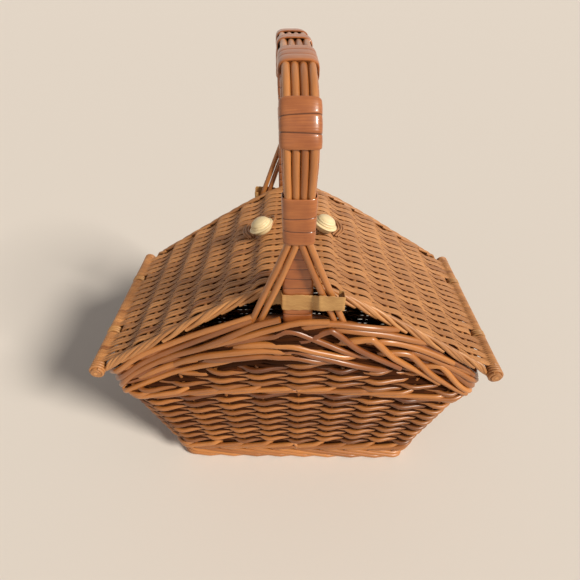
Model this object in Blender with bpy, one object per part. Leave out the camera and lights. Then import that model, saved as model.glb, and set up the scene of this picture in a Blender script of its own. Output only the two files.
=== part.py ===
"""Willow picnic basket with two lids and a fixed arch handle.

The basket stands on the foot border with its length along X and its height along Z.
Near is -Y and far is +Y. The lids turn on sticks at the left and the right end.
"""

import math

import bmesh
import bpy
from mathutils import Matrix, Vector

MM = 0.001

# Fit of pieces that touch, and how far a cutter runs past the piece it cuts
GAP = 0.3 * MM
OVERRUN = 2.0 * MM

# Height of the middle waling, which the other heights follow, and its rise in the middle
WAIST_HEIGHT = 148.0 * MM
WAIST_RISE = 13.0 * MM
WALING_THICKNESS = 12.0 * MM
WALING_HEIGHT = 12.0 * MM

# Plaited border that closes the body, its outside length and width: the other sizes follow it
BORDER_LENGTH = 388.0 * MM
BORDER_WIDTH = 209.0 * MM
BORDER_CORNER = 14.0 * MM
BORDER_THICKNESS = 12.0 * MM
BORDER_SIDE_HEIGHT = 27.5 * MM
BORDER_SIDE_TOP = WAIST_HEIGHT + WALING_HEIGHT / 2 + BORDER_SIDE_HEIGHT
BORDER_SIDE_LEAN = 7.0 * MM
BORDER_END_DROP = 4.0 * MM
BORDER_DROP_LENGTH = 30.0 * MM
SOCKET_WALL = 6.2 * MM
SOCKET_DEPTH = 38.0 * MM

# Woven body, outside sizes at the level of the middle waling and at the floor
BORDER_OVERHANG_END = 16.0 * MM
BORDER_OVERHANG_SIDE = 7.0 * MM
FLARE_END = 40.0 * MM
FLARE_SIDE = 20.0 * MM
WAIST_LENGTH = BORDER_LENGTH - 2 * BORDER_OVERHANG_END
WAIST_WIDTH = BORDER_WIDTH - 2 * BORDER_OVERHANG_SIDE
BASE_LENGTH = WAIST_LENGTH - 2 * FLARE_END
BASE_WIDTH = WAIST_WIDTH - 2 * FLARE_SIDE
BASE_CORNER = 16.0 * MM
WAIST_CORNER = 18.0 * MM
WALL_THICKNESS = 8.0 * MM
FOOT_HEIGHT = 20.0 * MM
FOOT_THICKNESS = 14.0 * MM
FLOOR_HEIGHT = 9.0 * MM
FLOOR_THICKNESS = 8.0 * MM
LOW_WALING_HEIGHT = 21.0 * MM
GUSSET_RISE = 68.0 * MM
GUSSET_END_HEIGHT = 2.5 * MM

# Arch handle: a flat bow with four sticks on its outer face, let into the border
BOW_OUTSET = 0.5 * MM
HANDLE_SPAN = BORDER_WIDTH + 2 * BOW_OUTSET
BOW_WIDTH = 25.2 * MM
BOW_THICKNESS = 9.0 * MM
BOW_ROUND = 3.2 * MM

# Lids, each from its pivot stick up to the ridge, free between the legs of the bow
LID_CLEARANCE = 0.5 * MM
LID_WIDTH = HANDLE_SPAN - BOW_THICKNESS - 2 * LID_CLEARANCE
PIVOT_OUTSET = 2.5 * MM
PIVOT_CLEARANCE = 2.6 * MM
PIVOT_STICK = 10.4 * MM
PIVOT_STICK_NEAR_END = 4.5 * MM
PIVOT_STICK_FAR_END = 0.5 * MM
PIVOT_SPAN = BORDER_LENGTH + 2 * PIVOT_OUTSET
PIVOT_HEIGHT = BORDER_SIDE_TOP + PIVOT_STICK / 2 + PIVOT_CLEARANCE
LID_RISE = 99.9 * MM
LID_RIDGE = PIVOT_HEIGHT + LID_RISE
LID_CROWN = 30.0 * MM
LID_THICKNESS = 10.0 * MM
LID_HOLLOW = 5.0 * MM
LID_CENTRE_GAP = 24.0 * MM
LID_CENTRE_GAP_LENGTH = 190.0 * MM
RIDGE_GAP = 3.0 * MM
RIDGE_STICK = 6.0 * MM
BINDING_WIDTH = 7.0 * MM
EAR_LENGTH = 48.0 * MM
EAR_DEPTH = 7.0 * MM

# Knobs, turned with a stem that goes through the lid
KNOB_WIDTH = 23.5 * MM
KNOB_HEIGHT = 18.5 * MM
KNOB_INSET_LEFT = 33.0 * MM
KNOB_INSET_RIGHT = 26.0 * MM
STEM_WIDTH = 6.0 * MM
STEM_END = 5.0 * MM
COLLAR_WIDTH = 12.0 * MM
COLLAR_HEIGHT = 3.0 * MM

# Cane loops that hold the pivot sticks on the border
LOOP_WIDTH = 8.0 * MM
LOOP_THICKNESS = 1.7 * MM
LOOP_SLACK = 0.4 * MM
LOOP_TAIL = 24.0 * MM

# Arch of the handle over the ridge, with its bands, braces and ties
HANDLE_RISE = 160.8 * MM
HANDLE_TOP = LID_RIDGE + HANDLE_RISE
HANDLE_CORNER = 45.0 * MM
HANDLE_CROWN = 3.0 * MM
HANDLE_NEAR_SHIFT = 1.0 * MM
HANDLE_FAR_SHIFT = -9.0 * MM
STICK = 6.0 * MM
BAND_THICKNESS = 1.0 * MM
BAND_ROUND = 3.6 * MM
LOW_BAND_SHARE = 0.5
LOW_BAND_BOTTOM = LID_RIDGE + (HANDLE_RISE - HANDLE_CORNER) * LOW_BAND_SHARE
LOW_BAND_HEIGHT = 36.0 * MM
SHOULDER_BAND_LENGTH = 26.0 * MM
SHOULDER_BAND_START = 9.4 * MM
TOP_BAND_LENGTH = 32.0 * MM
MIDDLE_BAND_LENGTH = 17.0 * MM
TOP_BAND_REACH = 54.0 * MM
BRACE_FOOT = 38.5 * MM
BRACE_FOOT_GAP = 1.4 * MM
BRACE_FOOT_DEPTH = 2.8 * MM
BRACE_FOOT_INSET = 0.5 * MM
BRACE_SINK = 22.0 * MM
TIE_HEIGHT = 15.5 * MM
TIE_RISE = 22.8 * MM
TIE_THICKNESS = 0.8 * MM
TIE_END = 4.0 * MM

# Counts
ROD_RINGS = 2
CORNER_STEPS = 5
SIDE_STEPS = 8
BORDER_STEPS = 22
LID_STEPS = 12
LID_ROWS = 36
LID_STAKES = 6
ARC_STEPS = 7
CROWN_STEPS = 6
TURN_STEPS = 16

# Outline of the border seen along its run: across as a share of the thickness, up of the height
BORDER_SHARES = (
    (0.26, 0.0), (0.50, 0.11), (0.42, 0.32), (0.50, 0.46), (0.40, 0.64), (0.48, 0.80),
    (0.26, 0.97), (0.0, 1.0), (-0.30, 0.95), (-0.50, 0.78), (-0.50, 0.14), (-0.26, 0.0),
)
# Outline of a waling or the foot border, across and up from its lowest edge
ROPE_SHARES = (
    (-0.40, 0.0), (0.40, 0.0), (0.50, 0.22), (0.42, 0.50), (0.50, 0.78), (0.36, 1.0),
    (-0.36, 1.0), (-0.50, 0.72), (-0.50, 0.20),
)
# Outline of the binding along a lid's edge
BINDING_SHARES = (
    (-0.50, 0.10), (-0.30, 0.0), (0.30, 0.0), (0.50, 0.20), (0.42, 0.50), (0.50, 0.80),
    (0.25, 1.0), (-0.25, 1.0), (-0.50, 0.85),
)
# Places along one stake of a lid where the top of the weave bends: up, level and down again
WEAVE_BEND_SHARES = (0.0, 0.25, 0.75)
# Turned outline of a knob from its foot to its top: radius and height
KNOB_SHARES = (
    (0.50, 0.0), (0.76, 0.10), (0.92, 0.26), (0.93, 0.36), (1.00, 0.43), (0.98, 0.49),
    (0.84, 0.53), (0.86, 0.59), (0.74, 0.75), (0.50, 0.90), (0.22, 0.98), (0.0, 1.0),
)

WILLOW = ((0.32, 0.15, 0.06), 0.5)
BORDER_WILLOW = ((0.42, 0.18, 0.06), 0.35)
LID_WILLOW = ((0.48, 0.26, 0.13), 0.55)
CANE = ((0.25, 0.09, 0.03), 0.4)
STICKS = ((0.40, 0.17, 0.06), 0.35)
PALE_CANE = ((0.36, 0.24, 0.10), 0.6)
BEECH = ((0.72, 0.58, 0.38), 0.45)


# Ground rules of the shape

def lerp(start, end, share):
    return start + (end - start) * share


def waist_share(height):
    return height / WAIST_HEIGHT


def body_half(height):
    """Half length, half width and corner radius of the body's outside at a height."""
    share = waist_share(height)
    return (
        lerp(BASE_LENGTH, WAIST_LENGTH, share) / 2,
        lerp(BASE_WIDTH, WAIST_WIDTH, share) / 2,
        lerp(BASE_CORNER, WAIST_CORNER, share),
    )


def waist_level(x):
    """Height of the middle waling's centre line, which rises towards the middle of a long side."""
    half = WAIST_LENGTH / 2 - WAIST_CORNER
    share = min(1.0, abs(x) / half)
    return WAIST_HEIGHT + WAIST_RISE * (1 - share * share)


def lid_slope():
    """Steepest fall of the lid, which brings its outer edge level with the pivot stick."""
    run = math.hypot(lid_outer(), LID_CROWN) - LID_CROWN
    return (LID_RIDGE + LID_THICKNESS / 2 - PIVOT_HEIGHT) / run


def lid_under(x):
    """Height of the lid's underside at a distance from the ridge."""
    return LID_RIDGE - lid_slope() * (math.hypot(x, LID_CROWN) - LID_CROWN)


def lid_tilt(x):
    """Slope angle of the lid at a distance from the ridge."""
    return math.atan(lid_slope() * abs(x) / math.hypot(x, LID_CROWN))


def border_reach():
    """Half length of the straight part of the near and far borders."""
    return BORDER_LENGTH / 2 - BORDER_THICKNESS / 2 - BORDER_CORNER


def border_top(x):
    """The border follows the lid, drops away from it in the middle and again at the ends."""
    x = abs(x)
    middle = max(0.0, 1 - (2 * x / LID_CENTRE_GAP_LENGTH) ** 2)
    past = max(0.0, x - (border_reach() - BORDER_DROP_LENGTH)) / BORDER_DROP_LENGTH
    return lid_under(x) - GAP - LID_CENTRE_GAP * middle ** 2 - BORDER_END_DROP * past ** 2


def border_foot(x):
    """Underside of the border, one gap above the gusset or the waling."""
    share = min(1.0, abs(x) / border_reach())
    low = WAIST_HEIGHT + WALING_HEIGHT / 2 + GUSSET_END_HEIGHT + 2 * GAP
    return lerp(WAIST_HEIGHT + GUSSET_RISE + GAP, low, share ** 1.35)


def border_swell(x):
    """How much thicker the border is where it holds the handle: a share from 0 to 1."""
    reach = LID_CENTRE_GAP_LENGTH / 2
    share = min(1.0, max(0.0, (abs(x) - BRACE_FOOT) / reach))
    return (1 - share) ** 2 * (1 + 2 * share)


def border_thickness(x):
    held = BOW_THICKNESS + 2 * GAP + 2 * SOCKET_WALL
    return lerp(BORDER_THICKNESS, held, border_swell(x))


def border_line(x):
    """Distance of the border's middle line from the basket's middle plane, at its top."""
    at_end = BORDER_WIDTH / 2 - BORDER_THICKNESS / 2
    return lerp(at_end, HANDLE_SPAN / 2, border_swell(x))


def border_foot_line(x):
    """The same at its underside, over the gusset."""
    at_end = WAIST_WIDTH / 2 - WALL_THICKNESS / 2 + GAP
    held = HANDLE_SPAN / 2 - GAP
    return lerp(at_end, held, border_swell(x))


# Making meshes

def finish(name, mesh, paint, smooth=math.radians(40)):
    """Puts a mesh in the scene with its own material."""
    mesh.name = name
    obj = bpy.data.objects.new(name, mesh)
    bpy.context.scene.collection.objects.link(obj)
    mesh.shade_smooth()
    mesh.set_sharp_from_angle(angle=smooth)
    colour(obj, paint)
    return obj


def colour(obj, paint):
    rgb, roughness = paint
    material = bpy.data.materials.new(obj.name)
    material.use_nodes = True
    shader = material.node_tree.nodes["Principled BSDF"]
    shader.inputs["Base Color"].default_value = (*rgb, 1.0)
    shader.inputs["Roughness"].default_value = roughness
    shader.inputs["Metallic"].default_value = 0.0
    obj.data.materials.clear()
    obj.data.materials.append(material)


def skin(rings, closed=False):
    """Mesh over a row of rings with equal counts of points. An open row gets a face at each end."""
    bm = bmesh.new()
    rows = [[bm.verts.new(point) for point in ring] for ring in rings]
    pairs = list(zip(rows, rows[1:]))
    if closed:
        pairs.append((rows[-1], rows[0]))
    for first, second in pairs:
        count = len(first)
        for index in range(count):
            after = (index + 1) % count
            bm.faces.new((first[index], first[after], second[after], second[index]))
    if not closed:
        bm.faces.new(rows[0][::-1])
        bm.faces.new(rows[-1])
    bmesh.ops.recalc_face_normals(bm, faces=bm.faces)
    mesh = bpy.data.meshes.new("skin")
    bm.to_mesh(mesh)
    bm.free()
    return mesh


def tube(name, points, width, paint, closed=False):
    """Round rod along points, as a bevelled curve with filled ends."""
    curve = bpy.data.curves.new(name, "CURVE")
    curve.dimensions = "3D"
    curve.bevel_depth = width / 2
    curve.bevel_resolution = ROD_RINGS
    curve.use_fill_caps = True
    spline = curve.splines.new("POLY")
    spline.points.add(len(points) - 1)
    for target, point in zip(spline.points, points):
        target.co = (*point, 1.0)
    spline.use_cyclic_u = closed
    obj = bpy.data.objects.new(name, curve)
    bpy.context.scene.collection.objects.link(obj)
    colour(obj, paint)
    return obj


def rod_sides():
    return 4 + 2 * ROD_RINGS


def hole_width(width):
    """Width of a faceted hole that clears a rod of that width."""
    return (width + 2 * GAP) / math.cos(math.pi / rod_sides())


def cut(obj, cutter):
    """Takes one helper solid out of a piece."""
    cutter.hide_render = True
    cutter.display_type = "WIRE"
    modifier = obj.modifiers.new(cutter.name, "BOOLEAN")
    modifier.operation = "DIFFERENCE"
    modifier.solver = "EXACT"
    modifier.object = cutter


def block(name, low, high):
    """Helper box between two corners."""
    bm = bmesh.new()
    size = [high[axis] - low[axis] for axis in range(3)]
    middle = [(high[axis] + low[axis]) / 2 for axis in range(3)]
    place = Matrix.Translation(middle) @ Matrix.Diagonal((*size, 1.0))
    bmesh.ops.create_cube(bm, size=1.0, matrix=place)
    mesh = bpy.data.meshes.new(name)
    bm.to_mesh(mesh)
    bm.free()
    obj = bpy.data.objects.new(name, mesh)
    bpy.context.scene.collection.objects.link(obj)
    return obj


def drill(name, start, end, width):
    """Helper rod between two points."""
    axis = Vector(end) - Vector(start)
    bm = bmesh.new()
    turn = axis.to_track_quat("Z", "Y").to_matrix().to_4x4()
    place = Matrix.Translation((Vector(start) + Vector(end)) / 2) @ turn
    bmesh.ops.create_cone(
        bm, cap_ends=True, segments=2 * rod_sides(), radius1=width / 2,
        radius2=width / 2, depth=axis.length, matrix=place,
    )
    mesh = bpy.data.meshes.new(name)
    bm.to_mesh(mesh)
    bm.free()
    obj = bpy.data.objects.new(name, mesh)
    bpy.context.scene.collection.objects.link(obj)
    return obj


def turned_about_z(points, side):
    """Points made for the near side, turned half round for the far one."""
    return [(-side * x, -side * y, z) for x, y, z in points]


# Body

def round_plan(half_length, half_width, corner):
    """Points of a rounded rectangle with the outward direction at each."""
    plan = []
    centres = ((1, 1), (-1, 1), (-1, -1), (1, -1))
    for index, (sx, sy) in enumerate(centres):
        for step in range(CORNER_STEPS + 1):
            angle = (index + step / CORNER_STEPS) * math.pi / 2
            out = (math.cos(angle), math.sin(angle))
            x = sx * (half_length - corner) + out[0] * corner
            y = sy * (half_width - corner) + out[1] * corner
            plan.append((x, y, out))
    return plan


def long_side_points(plan):
    """Adds points along the two long sides, so that a ring can rise in the middle."""
    full = []
    count = len(plan)
    for index, here in enumerate(plan):
        full.append(here)
        after = plan[(index + 1) % count]
        if abs(here[2][1]) > 0.99 and abs(after[2][1]) > 0.99:
            for step in range(1, SIDE_STEPS):
                share = step / SIDE_STEPS
                full.append((lerp(here[0], after[0], share), here[1], here[2]))
    return full


def rope_ring(name, bottom, height, thickness, paint, level=None):
    """Closed band of rope outline round the body, its outer face one waling proud of the wall."""
    middle = bottom + height / 2
    half_length, half_width, corner = body_half(middle)
    proud = (thickness - WALL_THICKNESS) / 2
    inset = thickness / 2 - proud
    plan = round_plan(half_length - inset, half_width - inset, corner - inset)
    if level:
        plan = long_side_points(plan)
    rings = []
    for x, y, out in plan:
        lift = level(x) - WAIST_HEIGHT if level and abs(out[1]) > 0.99 else 0.0
        ring = []
        for across, up in ROPE_SHARES:
            off = across * thickness
            ring.append((x + out[0] * off, y + out[1] * off, bottom + lift + up * height))
        rings.append(ring)
    return finish(name, skin(rings, closed=True), paint)


def make_base():
    half_length, half_width, corner = body_half(FOOT_HEIGHT / 2)
    inset = WALL_THICKNESS / 2 + FOOT_THICKNESS / 2 + GAP
    plan = round_plan(half_length - inset, half_width - inset, corner)
    low = [(x, y, FLOOR_HEIGHT) for x, y, out in plan]
    high = [(x, y, FLOOR_HEIGHT + FLOOR_THICKNESS) for x, y, out in plan]
    finish("base_panel", skin([low, high]), WILLOW)
    rope_ring("base_foot_border", 0.0, FOOT_HEIGHT, FOOT_THICKNESS, BORDER_WILLOW)
    rope_ring(
        "base_waling", FOOT_HEIGHT + GAP, LOW_WALING_HEIGHT, WALING_THICKNESS, BORDER_WILLOW
    )


def wall_bottom():
    return FOOT_HEIGHT + LOW_WALING_HEIGHT + 2 * GAP


def wall_top(x):
    return waist_level(x) - WALING_HEIGHT / 2 - GAP


def make_long_wall(name, side):
    """Near or far woven wall between the two walings."""
    half, _, corner = body_half(wall_bottom())
    high_half, _, high_corner = body_half(wall_top(WAIST_LENGTH))
    rings = []
    for step in range(SIDE_STEPS + 1):
        share = 2 * step / SIDE_STEPS - 1
        low_x = share * (half - corner - GAP)
        high_x = share * (high_half - high_corner - GAP)
        ring = []
        for x, z in ((low_x, wall_bottom()), (high_x, wall_top(high_x))):
            out = body_half(z)[1]
            pair = [(x, -out, z), (x, -out + WALL_THICKNESS, z)]
            ring += pair if not ring else pair[::-1]
        rings.append(turned_about_z(ring, side))
    finish(name, skin(rings), WILLOW)


def make_end_wall(name, side):
    """Left or right woven wall between the two walings."""
    rings = []
    for z in (wall_bottom(), wall_top(WAIST_LENGTH)):
        out, width, corner = body_half(z)
        reach = width - corner - GAP
        inner = out - WALL_THICKNESS
        ring = [(out, -reach), (out, reach), (inner, reach), (inner, -reach)]
        rings.append([(side * x, y, z) for x, y in ring])
    finish(name, skin(rings), WILLOW)


def make_wall_corner(name, side_x, side_y):
    """Rounded corner of the weave, a quarter of a tapering tube."""
    rings = []
    for z in (wall_bottom(), wall_top(WAIST_LENGTH)):
        length, width, corner = body_half(z)
        outer = []
        inner = []
        for step in range(CORNER_STEPS + 1):
            angle = step / CORNER_STEPS * math.pi / 2
            x = length - corner
            y = width - corner
            outer.append((x + math.cos(angle) * corner, y + math.sin(angle) * corner))
            inside = corner - WALL_THICKNESS
            inner.append((x + math.cos(angle) * inside, y + math.sin(angle) * inside))
        rings.append([(side_x * x, side_y * y, z) for x, y in outer + inner[::-1]])
    finish(name, skin(rings), WILLOW)


def make_gusset(name, side):
    """Low woven triangle between the middle waling and the border."""
    rings = []
    reach = border_reach()
    for step in range(BORDER_STEPS + 1):
        x = reach * (2 * step / BORDER_STEPS - 1)
        low = waist_level(x) + WALING_HEIGHT / 2 + GAP
        high = max(border_foot(x) - GAP, low + GUSSET_END_HEIGHT)
        low_line = body_half(low)[1] - WALL_THICKNESS / 2
        high_line = border_foot_line(x)
        ring = []
        for z, line, across in ((low, low_line, 1), (high, high_line, 1)):
            ring.append((x, -(line + across * WALL_THICKNESS / 2), z))
        for z, line, across in ((high, high_line, -1), (low, low_line, -1)):
            ring.append((x, -(line + across * WALL_THICKNESS / 2), z))
        rings.append(turned_about_z(ring, side))
    finish(name, skin(rings), WILLOW)


# Border

def border_ring(x, y_top, y_foot, out, top, foot, thickness):
    """One cross-section of the border, leaning from its foot line to its top line."""
    ring = []
    for across, up in BORDER_SHARES:
        off = across * thickness
        px = lerp(y_foot[0], y_top[0], up) + out[0] * off
        py = lerp(y_foot[1], y_top[1], up) + out[1] * off
        ring.append((x + px, py, lerp(foot, top, up)))
    return ring


def long_border_foot(x):
    high = max(border_foot(x), waist_level(x) + WALING_HEIGHT / 2 + GUSSET_END_HEIGHT + 2 * GAP)
    return high


def make_long_border(name, side, shift):
    """Near or far border, with sockets for the bow and the four braces."""
    rings = []
    reach = border_reach() - GAP
    for step in range(BORDER_STEPS + 1):
        x = reach * (2 * step / BORDER_STEPS - 1)
        ring = border_ring(
            x, (0.0, -border_line(x)), (0.0, -border_foot_line(x)), (0.0, -1.0),
            border_top(x), long_border_foot(x), border_thickness(x),
        )
        rings.append(turned_about_z(ring, side))
    obj = finish(name, skin(rings), BORDER_WILLOW)
    top = LID_RIDGE
    bottom = bow_end()
    half = BOW_WIDTH / 2 + GAP
    low = (shift - half, -HANDLE_SPAN / 2 - BOW_THICKNESS / 2 - GAP, bottom - GAP)
    high = (shift + half, -HANDLE_SPAN / 2 + BOW_THICKNESS / 2 + GAP, top)
    ends = turned_about_z([low, high], side)
    low = [min(a, b) for a, b in zip(*ends)]
    high = [max(a, b) for a, b in zip(*ends)]
    cut(obj, block(name + "_bow_socket", low, high))
    for index in range(4):
        path = brace_path(index, shift)
        start = Vector(path[-1])
        along = (Vector(path[-2]) - start).normalized()
        start -= along * GAP
        end = start + along * (BRACE_SINK + 2 * STICK)
        start, end = turned_about_z([start, end], side)
        cut(obj, drill(f"{name}_brace_socket_{index + 1}", start, end, hole_width(STICK)))
    return obj


def make_end_border(name, side):
    """Left or right border with its two rounded corners."""
    reach = border_reach()
    width = BORDER_WIDTH / 2 - BORDER_THICKNESS / 2
    centre_y = width - BORDER_CORNER
    start_top = border_top(reach)
    start_foot = long_border_foot(reach)
    end_foot = WAIST_HEIGHT + WALING_HEIGHT / 2 + GAP
    stations = []
    for turn in (-1, 1):
        arc = []
        for step in range(CORNER_STEPS + 1):
            share = step / CORNER_STEPS
            angle = share * math.pi / 2
            out = (math.sin(angle), turn * math.cos(angle))
            x = reach + out[0] * BORDER_CORNER
            y = turn * centre_y + out[1] * BORDER_CORNER
            fall = min(1.0, share * CORNER_STEPS / (CORNER_STEPS - 2))
            top = lerp(start_top, BORDER_SIDE_TOP, fall)
            foot = lerp(start_foot, end_foot, min(1.0, 2 * share))
            near_lean = width - border_foot_line(reach)
            lean = lerp(near_lean, BORDER_SIDE_LEAN, share)
            arc.append((x, y, out, top, foot, lean))
        stations += arc if turn < 0 else arc[::-1]
    rings = []
    for x, y, out, top, foot, lean in stations:
        ring = border_ring(
            x, (0.0, y), (-out[0] * lean, y - out[1] * lean), out, top, foot, BORDER_THICKNESS
        )
        rings.append([(side * px, py, pz) for px, py, pz in ring])
    finish(name, skin(rings), BORDER_WILLOW)


# Handle

def bow_end():
    """Height of the bow's lower ends, in the sockets of the border."""
    return border_top(0.0) - SOCKET_DEPTH


def arch_path(outward, bottom):
    """Centre line of a piece that lies outward of the bow's middle, from near foot to far foot.

    Each point comes with its direction across the thickness.
    """
    half = HANDLE_SPAN / 2
    top = HANDLE_TOP - HANDLE_CORNER
    points = [(-half - outward, bottom, (-1.0, 0.0))]
    points.append((-half - outward, lerp(bottom, top, 0.5), (-1.0, 0.0)))
    for step in range(ARC_STEPS + 1):
        angle = step / ARC_STEPS * math.pi / 2
        out = (-math.cos(angle), math.sin(angle))
        reach = HANDLE_CORNER + outward
        y = -half + HANDLE_CORNER + out[0] * reach
        points.append((y, top + out[1] * reach, out))
    flat = half - HANDLE_CORNER
    for step in range(1, CROWN_STEPS):
        share = step / CROWN_STEPS
        y = lerp(-flat, flat, share)
        lift = HANDLE_CROWN * (1 - (2 * share - 1) ** 2)
        points.append((y, HANDLE_TOP + outward + lift, (0.0, 1.0)))
    mirrored = [(-y, z, (-out[0], out[1])) for y, z, out in points[:ARC_STEPS + 3]]
    return points + mirrored[::-1]


def handle_shift(y):
    """The far leg stands a little to the left of the near one."""
    share = (y + HANDLE_SPAN / 2) / HANDLE_SPAN
    return lerp(HANDLE_NEAR_SHIFT, HANDLE_FAR_SHIFT, min(1.0, max(0.0, share)))


def strap_outline(half_width, inner, outer, round_off):
    """Rounded rectangle across the handle: across and outward."""
    outline = []
    corners = ((1, 1), (-1, 1), (-1, -1), (1, -1))
    for index, (sa, so) in enumerate(corners):
        edge = outer if so > 0 else inner
        for step in range(3):
            angle = (index + step / 2) * math.pi / 2
            across = sa * (half_width - round_off) + math.cos(angle) * round_off
            outward = so * (edge - round_off) + math.sin(angle) * round_off
            outline.append((across, outward))
    return outline


def strap_ring(y, z, out, outline):
    """Places a strap outline at a point of the arch."""
    shift = handle_shift(y)
    return [(shift + across, y + out[0] * up, z + out[1] * up) for across, up in outline]


def make_bow():
    outline = strap_outline(BOW_WIDTH / 2, BOW_THICKNESS / 2, BOW_THICKNESS / 2, BOW_ROUND)
    rings = [strap_ring(y, z, out, outline) for y, z, out in arch_path(0.0, bow_end())]
    finish("handle_bow", skin(rings), CANE)


def stick_offset(index):
    """Place of a face stick across the bow, from left to right."""
    return (index - 1.5) * (STICK + GAP)


def stick_lift():
    return BOW_THICKNESS / 2 + GAP + STICK / 2


def stick_split():
    """Height inside the lower band where a face stick meets its brace."""
    return LOW_BAND_BOTTOM + LOW_BAND_HEIGHT / 2


def make_face_sticks():
    for index in range(4):
        points = []
        for y, z, out in arch_path(stick_lift(), stick_split() + GAP / 2):
            points.append((handle_shift(y) + stick_offset(index), y, z))
        tube(f"handle_stick_{index + 1}", points, STICK, STICKS)


def brace_path(index, shift):
    """Line of one brace from inside the lower band to its socket, on the near side.

    It lies on the bow's face until it is past the bow's edge, and then leans in.
    """
    start_x = stick_offset(index)
    start_y = -HANDLE_SPAN / 2 - stick_lift()
    way = -1 if index < 2 else 1
    inner = index in (1, 2)
    foot_x = way * (BRACE_FOOT + (-1 if inner else 1) * (STICK + BRACE_FOOT_GAP) / 2)
    foot_y = -HANDLE_SPAN / 2 - BRACE_FOOT_INSET
    edge = BOW_WIDTH / 2 + rod_radius() + GAP
    clear = (edge - abs(start_x)) / (abs(foot_x) - abs(start_x))
    lower = STICK / 2 if inner else 0.0
    knee = Vector((start_x, start_y, LOW_BAND_BOTTOM - lower))
    foot = Vector((foot_x, foot_y, border_top(BRACE_FOOT) - BRACE_FOOT_DEPTH))
    past = knee.lerp(foot, clear)
    past.y = start_y
    sunk = foot + (foot - past).normalized() * BRACE_SINK
    path = [
        (start_x, start_y, stick_split() - GAP / 2),
        (start_x, start_y, LOW_BAND_BOTTOM + STICK),
        tuple(knee),
        tuple(past),
        tuple(foot),
        tuple(sunk),
    ]
    return [(shift + x, y, z) for x, y, z in path]


def rod_radius():
    """Half width of a stick over its corners."""
    return STICK / 2 / math.cos(math.pi / rod_sides())


def make_braces(side, shift, word):
    for index in range(4):
        points = turned_about_z(brace_path(index, shift), side)
        tube(f"handle_brace_{word}_{index + 1}", points, STICK, STICKS)


def band_outlines():
    """Inner and outer outline of a cane band round the bow and its sticks."""
    inner_edge = BOW_THICKNESS / 2 + GAP
    outer_edge = stick_lift() + STICK / 2 + GAP
    half = BOW_WIDTH / 2 + GAP
    tight = strap_outline(half, inner_edge, outer_edge, BOW_ROUND)
    loose = strap_outline(
        half + BAND_THICKNESS, inner_edge + BAND_THICKNESS, outer_edge + BAND_THICKNESS, BAND_ROUND
    )
    return tight, loose


def make_band(name, stations):
    """Sleeve of cane over a run of the handle."""
    tight, loose = band_outlines()
    outside = [strap_ring(y, z, out, loose) for y, z, out in stations]
    inside = [strap_ring(y, z, out, tight) for y, z, out in stations]
    finish(name, skin(outside + inside[::-1], closed=True), CANE)


def along_arch(start, length, steps):
    """Stations on the bow's middle line, measured along it from where the near corner starts."""
    half = HANDLE_SPAN / 2
    level = HANDLE_TOP - HANDLE_CORNER
    quarter = HANDLE_CORNER * math.pi / 2
    stations = []
    for step in range(steps + 1):
        run = start + length * step / steps
        if run <= quarter:
            angle = run / HANDLE_CORNER
            out = (-math.cos(angle), math.sin(angle))
            y = -half + HANDLE_CORNER * (1 + out[0])
            stations.append((y, level + HANDLE_CORNER * out[1], out))
        else:
            y = -half + HANDLE_CORNER + run - quarter
            share = y / (half - HANDLE_CORNER)
            stations.append((y, HANDLE_TOP + HANDLE_CROWN * (1 - share * share), (0.0, 1.0)))
    return stations


def far_stations(stations):
    return [(-y, z, (-out[0], out[1])) for y, z, out in stations][::-1]


def make_bands():
    half = HANDLE_SPAN / 2
    for word, side in (("near", -1), ("far", 1)):
        low = LOW_BAND_BOTTOM
        leg = [(side * half, low, (side * 1.0, 0.0))]
        leg.append((side * half, low + LOW_BAND_HEIGHT, (side * 1.0, 0.0)))
        make_band(f"handle_low_band_{word}", leg if side < 0 else leg[::-1])
    shoulder = along_arch(SHOULDER_BAND_START, SHOULDER_BAND_LENGTH, 4)
    make_band("handle_shoulder_band_near", shoulder)
    make_band("handle_shoulder_band_far", far_stations(shoulder))
    quarter = HANDLE_CORNER * math.pi / 2
    middle = quarter + half - HANDLE_CORNER
    top = along_arch(middle - TOP_BAND_REACH - TOP_BAND_LENGTH / 2, TOP_BAND_LENGTH, 2)
    centre = along_arch(middle - MIDDLE_BAND_LENGTH / 2, MIDDLE_BAND_LENGTH, 2)
    make_band("handle_top_band_near", top)
    make_band("handle_top_band_middle", centre)
    make_band("handle_top_band_far", far_stations(top))


def tie_level():
    """Height of the tie's middle, over the middle of the border."""
    return border_top(0.0) + TIE_RISE


def tie_path(shift):
    """Plan line of the pale cane tie: behind the left braces, over the bow, round the right ones."""
    bow_front = HANDLE_SPAN / 2 + BOW_THICKNESS / 2 + GAP + TIE_THICKNESS / 2
    high = tie_level() + TIE_HEIGHT / 2
    low = tie_level() - TIE_HEIGHT / 2
    rod_half = rod_radius()
    near_x, near_y = brace_at(2, high)
    far_x, far_y = brace_at(3, low)
    front = near_y + rod_half + 2 * GAP + TIE_THICKNESS / 2
    behind = far_y - rod_half - 2 * GAP - TIE_THICKNESS / 2
    side = BOW_WIDTH / 2 + GAP + TIE_THICKNESS / 2
    outer = far_x + rod_half + 2 * GAP + TIE_THICKNESS
    left = near_x + TIE_END
    plan = [
        (-left - TIE_END, behind), (-left, behind), (-side - 2 * TIE_THICKNESS, behind),
        (-side - TIE_THICKNESS / 2, behind + TIE_THICKNESS), (-side, bow_front - TIE_THICKNESS * 2),
        (-side + TIE_THICKNESS, bow_front), (side - TIE_THICKNESS, bow_front),
        (near_x - STICK / 2, front), (outer - TIE_THICKNESS, front),
        (outer, front - TIE_THICKNESS), (outer, behind + TIE_THICKNESS),
        (outer - TIE_THICKNESS, behind), (outer - TIE_END, behind),
    ]
    return [(shift + x, -y) for x, y in plan]


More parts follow.
